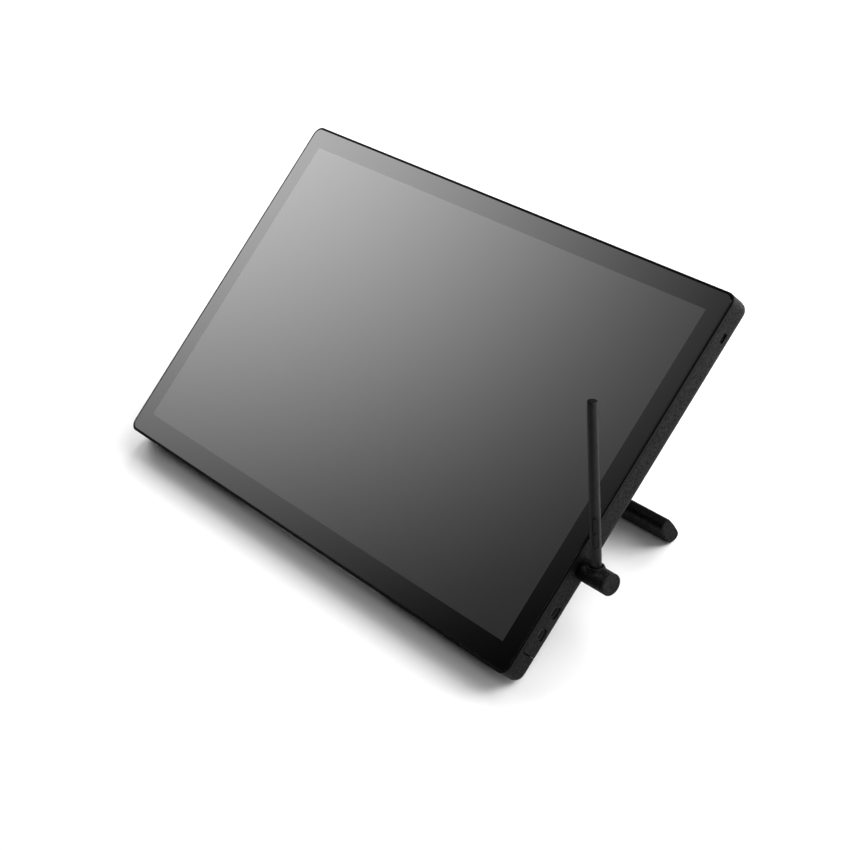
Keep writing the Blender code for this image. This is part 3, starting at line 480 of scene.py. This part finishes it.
LOOKS = {
    "black_glass": front_glass(),
    "rim_plastic": rim(),
    # The housing's plastic carries the painted shade along its seam
    "shell_plastic": moulded("shell_plastic", SHELL_TONE, 0.50, 1300.0, 0.000060,
                             specular=SHELL_SHINE, seam=SEAM_Y),
    "leg_plastic": moulded("leg_plastic", (0.0030, 0.0030, 0.0031), 0.54, 1300.0, 0.000060,
                           specular=0.09),
    "inner_plastic": moulded("inner_plastic", (0.0026, 0.0026, 0.0028), 0.60, 1800.0, 0.000030,
                             specular=0.12),
    "rubber": rubber(),
    "pen_plastic": moulded("pen_plastic", (0.0024, 0.0024, 0.0026), 0.46, 4200.0, 0.000012,
                           specular=0.18, edge=0.0002),
    "key_plastic": moulded("key_plastic", (0.0024, 0.0024, 0.0026), 0.36, 3800.0, 0.000006,
                           specular=0.14, edge=0.0002),
    "zinc_steel": metal("zinc_steel", (0.55, 0.56, 0.58), 0.34, (1.0, 12.0, 12.0)),
    "black_steel": metal("black_steel", (0.090, 0.090, 0.093), 0.42, (12.0, 1.0, 1.0)),
    "chassis_metal": metal("chassis_metal", (0.62, 0.63, 0.65), 0.40, (1.0, 20.0, 20.0)),
    "panel_cell": film("panel_cell", (0.020, 0.022, 0.028), 0.20, 400.0),
    "diffuser": film("diffuser", (0.72, 0.72, 0.73), 0.45, 250.0),
    "circuit_board": circuit_board(),
    "ribbon_film": film("ribbon_film", (0.66, 0.61, 0.46), 0.35, 900.0),
}


def dress_cad_nodes():
    """Every carried-over node gets its slot's material and smooth shading."""
    weld_distance = 0.000001
    for part in frame["record"]["subparts"]:
        node = NODES[part["node"]]
        node.data.materials.clear()
        node.data.materials.append(LOOKS[part["material_slot"]])
        for polygon in node.data.polygons:
            polygon.use_smooth = True
        weld = node.modifiers.new("weld", "WELD")
        weld.merge_threshold = weld_distance
        split = node.modifiers.new("sharp_edges", "EDGE_SPLIT")
        split.split_angle = radians(32.0)
        flatten_normals(node)


# Display ------------------------------------------------------------------------------
GLASS_BACK = -0.0011
FRAME_FRONT, FRAME_SEAT, FRAME_BACK = -0.0002, -0.0014, -0.0024
FRAME_WIDTH = 0.0050


def make_cover_glass():
    """Glass sheet with a ground edge."""
    edge = 0.00035
    steps = 5
    arc = [radians(90.0) * (1 - k / steps) for k in range(steps + 1)]
    rings = [at(body_outline(RIM + edge * (1 - sin(t))), -edge * (1 - cos(t))) for t in arc]
    rings.insert(0, at(body_outline(RIM), GLASS_BACK))
    rings.append(at(body_outline(RIM + 2 * edge), 0.0))
    piece(build("glass_sheet", loft(rings), FACE, radians(50.0)), "tablet", "black_glass",
          ["cover_glass"])


def make_front_frame():
    """Rim round the glass with a rounded outer shoulder."""
    edge, inner_edge = 0.0005, 0.00015
    steps = 6
    arc = [radians(90.0) * k / steps for k in range(steps + 1)]
    outer = 0.00001
    rings = [at(body_outline(outer + edge * (1 - sin(t))), FRAME_FRONT - edge * (1 - cos(t)))
             for t in arc]
    inner = RIM - GAP
    rings += [at(body_outline(outer), FRAME_BACK), at(body_outline(FRAME_WIDTH), FRAME_BACK),
              at(body_outline(FRAME_WIDTH), FRAME_SEAT), at(body_outline(inner), FRAME_SEAT),
              at(body_outline(inner), FRAME_FRONT - inner_edge),
              at(body_outline(inner - inner_edge), FRAME_FRONT)]
    piece(build("rim_moulding", loft(rings, close=True), FACE), "tablet", "rim_plastic",
          ["front_frame"])


# Screws in the back -------------------------------------------------------------------
SCREWS = [(side * x, y) for side in (-1, 1)
          for x, y in ((0.262, 0.150), (0.060, -0.105), (0.262, -0.1555))]
HEAD_R, HEAD_FLAT_R, SHANK_R = 0.0026, 0.0026 * 0.86, 0.0011
HEAD_CROWN, HEAD_ROUNDING = 0.00022, 0.00008
HEAD_TOP, HEAD_SEAT, SHANK_END = BACK + 0.0001, BACK + 0.0006, BACK + 0.0069
DRIVE_R, DRIVE_LOBES, DRIVE_WAVE, DRIVE_DEPTH = 0.0013, 6, 0.16, 0.0004
CUT_OVER = 0.0010


def make_screws():
    """Round heads with a turned-down edge and a six-lobed recess for the driver."""
    for number, (x, y) in enumerate(SCREWS, 1):
        corners = [(HEAD_TOP, 0), (HEAD_TOP, HEAD_FLAT_R), (HEAD_TOP + HEAD_CROWN, HEAD_R),
                   (HEAD_SEAT, HEAD_R), (HEAD_SEAT, SHANK_R), (SHANK_END, SHANK_R), (SHANK_END, 0)]
        profile = soft_profile(corners, HEAD_ROUNDING, 3)
        screw = build(f"housing_screw_{number}_lobed", turned(profile, (x, y), steps=64), FACE)
        lobes = []
        for t in angles(96):
            r = DRIVE_R * (1 - DRIVE_WAVE + DRIVE_WAVE * cos(DRIVE_LOBES * t))
            lobes.append((x + r * cos(t), y + r * sin(t)))
        cut(screw, loft([at(lobes, HEAD_TOP - CUT_OVER), at(lobes, HEAD_TOP + DRIVE_DEPTH)]), FACE)
        piece(screw, "tablet", "zinc_steel", [f"housing_screw_{number}"])


# Pen ----------------------------------------------------------------------------------
PEN_R = 0.0043
PEN_BORE_R = 0.0032
PEN_TAIL_R = 0.0040
PEN_SEAM = 0.0538
FINE_GAP = 0.0001
PEN_TAIL = 0.1473
NOSE_TOP, NOSE_TIP = 0.0084, -0.0030
SWITCH_TURN = radians(-40.0)
KEYS = {"pen_key_front": (0.0275, 0.0390), "pen_key_rear": (0.0400, 0.0520)}
KEY_WIDTH = 0.0038
KEY_ROOM_SIDE, KEY_ROOM_END = 0.00040, 0.00055  # between the keys and the edge of their recess
NOSE_TIP_R = 0.00145
NIB_R, NIB_POINT, NIB_END = 0.00075, -0.0050, 0.0118
TAPER_START = 0.0950


def nose_radius(h):
    """A slightly swollen cone from the nib's hole up to the grip."""
    t = max((h - NOSE_TIP) / (NOSE_TOP - NOSE_TIP), 0.0)
    return NOSE_TIP_R + (PEN_R - NOSE_TIP_R) * t ** 0.8


def recess_depth(angle, h):
    """How far the grip is sunk round the side keys."""
    deep, soft = 0.00078, 0.00020
    half_w = KEY_WIDTH / 2 + KEY_ROOM_SIDE
    low = KEYS["pen_key_front"][0] - KEY_ROOM_END
    high = KEYS["pen_key_rear"][1] + KEY_ROOM_END
    across = abs((angle - SWITCH_TURN + pi) % (2 * pi) - pi) * PEN_R
    corner = 0.0014
    dx = max(across - (half_w - corner), 0.0)
    dh = max(max(low + corner - h, h - high + corner), 0.0)
    outside = sqrt(dx * dx + dh * dh) - corner
    return deep * (1 - smooth_step(outside / soft + 0.5))


def make_grip():
    """Grip with a faint swelling and one recess round both keys."""
    low, high = NOSE_TOP + GAP, PEN_SEAM - FINE_GAP / 2
    steps, rows = 160, 230
    rim = 0.00010
    heights = [low + rim] + [low + rim + (high - low - 2 * rim) * k / rows for k in range(1, rows)]
    heights.append(high - rim)
    rings = [[Vector((PEN_BORE_R * cos(t), PEN_BORE_R * sin(t), low)) for t in angles(steps)]]
    most_swell, swell_middle, swell_half = 0.00005, 0.030, 0.024

    def ring(h, shrink):
        points = []
        swell = most_swell * cos((h - swell_middle) / swell_half * pi / 2)
        for t in angles(steps):
            r = PEN_R + swell - shrink - recess_depth(t, h)
            points.append(Vector((r * cos(t), r * sin(t), h)))
        return points

    rings.append(ring(low, rim))
    rings.append(ring(low + rim * 0.3, rim * 0.3))
    rings += [ring(h, 0.0) for h in heights]
    rings.append(ring(high - rim * 0.3, rim * 0.3))
    rings.append(ring(high, rim))
    rings.append([Vector((p.x, p.y, high)) for p in rings[0]])
    piece(build("pen_grip_sleeve", loft(rings, close=True), PEN, radians(60.0)), "pen",
          "pen_plastic", ["pen_grip"])


def make_pen_keys():
    """Side keys: rounded plates bent round the pen, crowned along their length."""
    corner = 0.0013
    inner_r, outer_r = 0.00418, PEN_R + 0.00032
    edge, crown = 0.00035, 0.00003
    for name, (low, high) in KEYS.items():
        rings = []
        for inset, r in ((0.0, inner_r), (0.0, outer_r - edge), (edge * 0.13, outer_r - edge * 0.5),
                         (edge * 0.5, outer_r - edge * 0.13), (edge, outer_r),
                         (edge * 2.2, outer_r + crown), (edge * 4.0, outer_r + crown)):
            outline = rect(-KEY_WIDTH / 2 + inset, low + inset, KEY_WIDTH / 2 - inset,
                           high - inset, max(corner - inset, 0.0003), 8)
            rings.append([Vector((r * cos(SWITCH_TURN + s / outer_r),
                                  r * sin(SWITCH_TURN + s / outer_r), h)) for s, h in outline])
        key = build(name + "_cap", loft(rings), PEN, radians(50.0))
        piece(key, name, "key_plastic", [name])


def make_barrel():
    """Barrel that tapers towards its end, and the plug that closes it."""
    low, high = PEN_SEAM + FINE_GAP / 2, PEN_TAIL - 0.0030
    outer = [(low, PEN_BORE_R), (low, PEN_R - 0.00005), (TAPER_START, PEN_R - 0.00017),
             (high, PEN_TAIL_R), (high, PEN_BORE_R)]
    piece(build("pen_barrel_tube", turned(soft_profile(outer, 0.00010), ring=True), PEN), "pen",
          "pen_plastic", ["pen_barrel"])
    plug = PEN_BORE_R - GAP
    start = high + FINE_GAP
    tail = [(high - 0.0050, 0), (high - 0.0050, plug), (start, plug),
            (start, PEN_TAIL_R - FINE_GAP), (start + FINE_GAP, PEN_TAIL_R)]
    top = PEN_TAIL - 0.00015
    crown = [(start + 2 * FINE_GAP, PEN_TAIL_R), (top, PEN_TAIL_R), (top, 0)]
    profile = tail + soft_profile(crown, 0.0009, 8)
    piece(build("pen_tail_button", turned(profile), PEN, radians(60.0)), "pen", "pen_plastic",
          ["pen_tail_cap"])


def make_nose():
    """Hollow nose cone and the nib that runs through it."""
    cone = [NOSE_TIP + (NOSE_TOP - NOSE_TIP) * k / 16 for k in range(17)]
    outer = [(h, nose_radius(h)) for h in cone]
    outer += [(NOSE_TOP, PEN_BORE_R - 0.0004), (NOSE_TIP, 0.0010)]
    piece(build("pen_nose_cone", turned(outer, ring=True), PEN), "pen", "pen_plastic",
          ["pen_nose"])
    tip = [(NIB_POINT + NIB_R * 0.8 * (1 - cos(t)), NIB_R * sin(t)) for t in
           [radians(90.0) * k / 8 for k in range(9)]]
    nib = tip + [(NIB_END, NIB_R), (NIB_END, 0)]
    nib[0] = (NIB_POINT, 0)
    piece(build("pen_nib_point", turned(nib, steps=48), PEN), "pen_nib", "inner_plastic",
          ["pen_nib"])


# Pen holder ---------------------------------------------------------------------------
HOLDER_R = 0.00905
PEN_FROM_SIDE = 0.0142                          # the pen's axis, from the tablet's side
HOLDER_START = 0.0013 - PEN_FROM_SIDE
HOLDER_END = 0.0312 - PEN_FROM_SIDE
CAP_THICK = 0.0023
AXLE_R, AXLE_OVER, AXLE_END = 0.0030, 0.004, -0.0076
HOLE_FLOOR, HOLE_R = -0.0066, 0.0046
SLEEVE_FLOOR, SLEEVE_ROOM_R = 0.0020, 0.0064
HOLE_TOP = 0.0140


def make_holder_tube():
    """Round tube across the pen, bored for the pen, its sleeve and the axle."""
    end = HOLDER_END - CAP_THICK - GAP
    profile = [(HOLDER_START, 0), (HOLDER_START, HOLDER_R), (end, HOLDER_R), (end, 0)]
    tube = build("holder_tube", turned(soft_profile(profile, 0.0005), axis="X", steps=128), PEN)
    bore = [(HOLE_FLOOR, 0), (HOLE_FLOOR, HOLE_R), (SLEEVE_FLOOR, HOLE_R),
            (SLEEVE_FLOOR, SLEEVE_ROOM_R), (HOLE_TOP, SLEEVE_ROOM_R), (HOLE_TOP, 0)]
    cut(tube, turned(bore, steps=72), PEN)
    low = HOLDER_START - AXLE_OVER
    axle = [(low, 0), (low, AXLE_R + GAP), (AXLE_END, AXLE_R + GAP), (AXLE_END, 0)]
    cut(tube, turned(axle, axis="X", steps=48), PEN)
    piece(tube, "pen_holder", "shell_plastic", ["pen_holder"])


def make_collar():
    """Lip round the pen's hole: flat on top, and flowing down onto the round tube."""
    steps = 112
    lip_r, foot_r = 0.0061, 0.0076
    lip_top = 0.0096
    plug_r, sleeve_low = 0.0043, 0.0023
    nose_room = 0.00035

    def surface(r, t, sink):
        return sqrt(HOLDER_R ** 2 - (r * sin(t)) ** 2) - sink

    def ring(r, height):
        return [Vector((r * cos(t), r * sin(t), height(t))) for t in angles(steps)]

    rings = [ring(lip_r, lambda t: sleeve_low),
             ring(lip_r, lambda t: min(surface(lip_r, t, 0.0004), 0.0050))]
    rings.append(ring(foot_r - 0.0002, lambda t: surface(foot_r, t, 0.00025)))
    flow = 8
    for k in range(flow + 1):
        u = k / flow
        r = foot_r + (lip_r - foot_r) * u
        w = smooth_step(u)
        rings.append(ring(r, lambda t, r=r, w=w: (1 - w) * surface(r, t, 0.00012)
                          + w * (lip_top - 0.0001)))
    rings.append(ring(lip_r - 0.00025, lambda t: lip_top))
    rings.append(ring(0.00545, lambda t: lip_top))
    rings.append(ring(0.0052, lambda t: lip_top - 0.00012))
    rings.append(ring(0.00505, lambda t: lip_top - 0.0006))
    for k in range(13):
        h = NOSE_TOP + (NOSE_TIP - NOSE_TOP) * k / 12
        rings.append(ring(nose_radius(h) + nose_room, lambda t, h=h: h))
    rings.append(ring(0.0012, lambda t: -0.0054))
    rings.append(ring(plug_r, lambda t: -0.0063))
    rings.append(ring(plug_r, lambda t: sleeve_low))
    piece(build("holder_collar", loft(rings, close=False), PEN, radians(50.0)), "pen_holder",
          "shell_plastic", ["holder_sleeve"])


def make_holder_cap():
    """End cap with a fine groove and a slightly sunk middle."""
    low = HOLDER_END - CAP_THICK
    groove_r, groove, groove_half = 0.00705, 0.0003, 0.00022
    middle, middle_r = HOLDER_END - 0.0001, 0.0030
    corners = [(low, 0), (low, HOLDER_R), (HOLDER_END, HOLDER_R),
               (HOLDER_END, groove_r + groove_half), (HOLDER_END - groove, groove_r),
               (HOLDER_END, groove_r - groove_half), (middle, middle_r), (middle, 0)]
    profile = soft_profile(corners[:4], 0.0006, 7)[:-1] + soft_profile(corners[3:], 0.00012, 3)
    piece(build("holder_end_cap", turned(profile, axis="X", steps=128), PEN), "pen_holder",
          "shell_plastic", ["holder_cap"])


# Legs ---------------------------------------------------------------------------------
LEG_IN, ARM_OUT, LEG_OUT = 0.1400, 0.2020, 0.2775
FOOT_HEIGHT = 0.0220
PAD_STAND = 0.0008
PAD_LENGTH, PAD_WIDTH, PAD_INSET = 0.0280, 0.0056, 0.0070
PAD_TOP = PAD_STAND + 0.0009
SHOULDER = 0.0100
BARREL_R = 0.0046
BARREL_IN, BARREL_OUT = LEG_IN + 0.0104, ARM_OUT - 0.0104
PIN_ROOM_R = 0.00215
LEG_REACH = HINGE.translation.z / cos(TILT - LEG_LEAN)
LEG_SLOPE = tan(TILT - LEG_LEAN)


def between(side, a, b):
    """Low and high X of a span, on the left (-1) or the right (1)."""
    return sorted((side * a, side * b))


def prism(outline, low, high, axis="X"):
    """Straight solid with this outline between two heights."""
    return loft([[point(a, b, h, axis) for a, b in outline] for h in (low, high)])


def foot_profile():
    """Section of the bar that stands on the desk."""
    base = -LEG_REACH + PAD_STAND
    inner, outer = -0.0070, 0.0054
    corners = [(inner, base - inner * LEG_SLOPE), (outer, base - outer * LEG_SLOPE),
               (0.0052, base + 0.0120), (0.0036, base + FOOT_HEIGHT),
               (-0.0066, base + FOOT_HEIGHT)]
    return fillet(corners, [0.0045, 0.0045, 0.0100, 0.0026, 0.0042])


def foot_bar(side):
    """Bar with rounded end faces, each with a faint step inside its rounding."""
    profile = foot_profile()
    middle = -LEG_REACH + PAD_STAND + FOOT_HEIGHT / 2
    edge = 0.0010
    steps = 6
    spans = []
    for k in range(steps + 1):
        t = radians(90.0) * k / steps
        spans.append((LEG_IN + edge * (1 - cos(t)), edge * (1 - sin(t))))
    far = [(LEG_OUT + LEG_IN - x, inset) for x, inset in reversed(spans)]
    rings = []
    for x, inset in spans + far:
        shrink_y = 1 - inset / 0.0062
        shrink_z = 1 - inset / (FOOT_HEIGHT / 2)
        rings.append([point(a * shrink_y, (b - middle) * shrink_z + middle, side * x, "X")
                      for a, b in profile])
    return loft(rings)


def make_leg(side, name):
    """Foot bar, arm and hinge barrel in one piece, with its two pads."""
    body = "leg_" + name
    leg = build(body + "_bar", foot_bar(side), LEG, radians(50.0))
    arm_low = -LEG_REACH + PAD_STAND + FOOT_HEIGHT - 0.0060
    arm = rect(-0.0042, arm_low, 0.0030, -SHOULDER, 0.0012, 6)
    cut(leg, prism(arm, *between(side, LEG_IN + 0.0004, ARM_OUT)), LEG, "UNION")
    steps = 40
    angles = [radians(-40.0 + 260.0 * k / steps) for k in range(steps + 1)]
    neck = [(BARREL_R * cos(t), BARREL_R * sin(t)) for t in angles]
    neck += [(-0.0036, -SHOULDER - 0.002), (0.0024, -SHOULDER - 0.002)]
    cut(leg, prism(neck, *between(side, BARREL_IN, BARREL_OUT)), LEG, "UNION")
    low, high = between(side, BARREL_IN, BARREL_OUT)
    cut(leg, turned([(low - GAP, 0), (low - GAP, PIN_ROOM_R), (high + GAP, PIN_ROOM_R),
                     (high + GAP, 0)], axis="X", steps=48), LEG)
    seat = desk_strip(PAD_WIDTH + 2 * GAP, PAD_TOP + GAP, -0.004)
    for which, start in pad_starts().items():
        cut(leg, prism(seat, *between(side, start - GAP, start + PAD_LENGTH + GAP)), LEG)
    piece(leg, body, "leg_plastic", [body])
    for which, start in pad_starts().items():
        make_pad(side, name, which, start)


def pad_starts():
    """Where each of a leg's pads begins, from the middle of the tablet."""
    return {"inner": LEG_IN + PAD_INSET, "outer": LEG_OUT - PAD_INSET - PAD_LENGTH}


def desk_strip(width, up, down):
    """Section of a strip that lies flat on the desk while the leg leans."""
    half = width / 2
    rise = half * LEG_SLOPE
    low, high = down - LEG_REACH, up - LEG_REACH
    return [(-half, low + rise), (half, low - rise), (half, high - rise), (-half, high + rise)]


def make_pad(side, name, which, start):
    """Rubber pad with rounded ends and fine ribs across its sole."""
    ribs = 14
    groove = 0.00025
    half = PAD_WIDTH / 2
    rings = []
    count = ribs * 6
    for k in range(count + 1):
        u = k / count
        x = start + PAD_LENGTH * u
        end = min(u, 1 - u) * PAD_LENGTH
        narrow = sqrt(max(1 - max(1 - end / 0.0014, 0.0) ** 2, 0.04))
        lift = groove * (1 - max(0.0, cos(2 * pi * ribs * u))) * 0.5 * (1 if end > 0.0007 else 0)
        w = half * (0.72 + 0.28 * narrow)
        low = -LEG_REACH + lift + (0.00015 if end < 0.0003 else 0.0)
        high = -LEG_REACH + PAD_TOP
        ring = [(-w, low + w * LEG_SLOPE + 0.0002), (-w + 0.0003, low + (w - 0.0003) * LEG_SLOPE),
                (w - 0.0003, low - (w - 0.0003) * LEG_SLOPE), (w, low - w * LEG_SLOPE + 0.0002),
                (w, high - w * LEG_SLOPE), (-w, high + w * LEG_SLOPE)]
        rings.append([point(a, b, side * x, "X") for a, b in ring])
    pad = f"leg_pad_{name}_{which}"
    piece(build(pad + "_sole", loft(rings), LEG), "leg_" + name, "rubber", [pad])


# Stage --------------------------------------------------------------------------------
FLOOR_HALF = 6.0
FLOOR_TONE = (0.90, 0.90, 0.90)


def make_floor():
    """Pale matt floor."""
    bm = bmesh.new()
    bmesh.ops.create_grid(bm, x_segments=1, y_segments=1, size=FLOOR_HALF)
    floor = build("floor", bm, Matrix.Identity(4))
    look = Look("floor_paper", FLOOR_TONE, 0.9, specular=0.0)
    look.link(look.ramp(look.noise(3.0), 0.3, 0.7, 0.88, 0.92), look.shader.inputs["Roughness"])
    floor.data.materials.append(look.material)


BACKDROP_R = 5.9
BACKDROP_LOW, BACKDROP_HIGH, BACKDROP_FADE = 0.16, 0.60, 3.0


def make_backdrop():
    """Pale surround that only the camera sees, so it sheds no light."""
    bm = bmesh.new()
    bmesh.ops.create_uvsphere(bm, u_segments=64, v_segments=32, radius=BACKDROP_R)
    surround = build("backdrop", bm, Matrix.Identity(4))
    look = Look("backdrop_paper", (0.0, 0.0, 0.0), 1.0, specular=0.0)
    split = look.nodes.new("ShaderNodeSeparateXYZ")
    look.link(look.coordinates, split.inputs["Vector"])
    look.set("Emission Color", (1.0, 1.0, 1.0, 1.0))
    look.link(look.ramp(split.outputs["Z"], 0.0, BACKDROP_FADE, BACKDROP_LOW, BACKDROP_HIGH),
              look.shader.inputs["Emission Strength"])
    surround.data.materials.append(look.material)
    for ray in ("diffuse", "glossy", "transmission", "volume_scatter", "shadow"):
        setattr(surround, "visible_" + ray, False)


GLARE_FROM = Vector((-0.8304, -0.0792, 0.5516))
GLARE_SLOPE, GLARE_START, GLARE_GAIN = 35.26, 33.06, 0.82
GLARE_FALL, GLARE_FLOOR = 3.0, 0.10


def make_world():
    """Dark room with one large soft glow on the left."""
    world = bpy.data.worlds.new("studio")
    bpy.context.scene.world = world
    world.use_nodes = True
    nodes, links = world.node_tree.nodes, world.node_tree.links
    background = nodes["Background"]
    source = nodes.new("ShaderNodeTexCoord").outputs["Generated"]
    dot = nodes.new("ShaderNodeVectorMath")
    dot.operation = "DOT_PRODUCT"
    dot.inputs[1].default_value = GLARE_FROM.normalized()
    links.new(source, dot.inputs[0])
    value = dot.outputs["Value"]
    for operation, amount in (("MULTIPLY", GLARE_SLOPE), ("SUBTRACT", GLARE_START),
                              ("MAXIMUM", 0.0), ("POWER", GLARE_FALL),
                              ("SUBTRACT", GLARE_FLOOR), ("MAXIMUM", 0.0),
                              ("MULTIPLY", GLARE_GAIN)):
        node = nodes.new("ShaderNodeMath")
        node.operation = operation
        links.new(value, node.inputs[0])
        node.inputs[1].default_value = amount
        value = node.outputs["Value"]
    background.inputs["Color"].default_value = (1.0, 1.0, 1.0, 1.0)
    links.new(value, background.inputs["Strength"])


# Soft boxes in an arc from the right round behind: {height angle: {direction: watts}}, in degrees
LIGHT_WALL = {20.0: {0: 11.0, 40: 45.0, 80: 23.0, 120: 32.0, 160: 34.0},
              42.0: {0: 3.0, 40: 20.0, 80: 13.0, 120: 9.0}}
LIGHT_DISTANCE, LIGHT_SIZE = 2.2, 1.1
SHINY_UP_TO = 40                                # only the boxes on the right give highlights


def make_lights():
    """The wall of soft boxes, unseen by the camera."""
    for height, row in LIGHT_WALL.items():
        for direction, watts in row.items():
            light = bpy.data.lights.new(f"soft_box_{direction}", "AREA")
            light.size = LIGHT_SIZE
            light.energy = watts
            obj = bpy.data.objects.new(light.name, light)
            flat = cos(radians(height))
            towards = Vector((cos(radians(direction)) * flat, sin(radians(direction)) * flat,
                              sin(radians(height))))
            obj.location = towards * LIGHT_DISTANCE
            obj.rotation_euler = (-towards).to_track_quat("-Z", "Y").to_euler()
            obj.visible_camera = False
            obj.visible_glossy = direction <= SHINY_UP_TO
            bpy.context.scene.collection.objects.link(obj)


CAMERA_PLACE = (1.3255, -0.6060, 1.1213)
CAMERA_RIGHT = Vector((0.5969, 0.7322, -0.3282))
CAMERA_UP = Vector((-0.3301, 0.5969, 0.7313))
SENSOR_WIDTH, LENS = 36.0, 89.23


def make_camera():
    """Camera looking down from the front right."""
    data = bpy.data.cameras.new("camera")
    data.sensor_width = SENSOR_WIDTH
    data.lens = LENS
    data.clip_start = 0.05
    data.clip_end = 30.0
    camera = bpy.data.objects.new("camera", data)
    turn = Matrix((CAMERA_RIGHT, CAMERA_UP, CAMERA_RIGHT.cross(CAMERA_UP))).transposed().to_4x4()
    camera.matrix_world = Matrix.Translation(CAMERA_PLACE) @ turn
    bpy.context.scene.collection.objects.link(camera)
    bpy.context.scene.camera = camera


make_camera()
dress_cad_nodes()
make_cover_glass()
make_front_frame()
make_screws()
make_grip()
make_pen_keys()
make_barrel()
make_nose()
make_holder_tube()
make_collar()
make_holder_cap()
make_leg(-1, "left")
make_leg(1, "right")
make_floor()
make_backdrop()
make_world()
make_lights()
bpy.context.scene.view_settings.view_transform = "Standard"
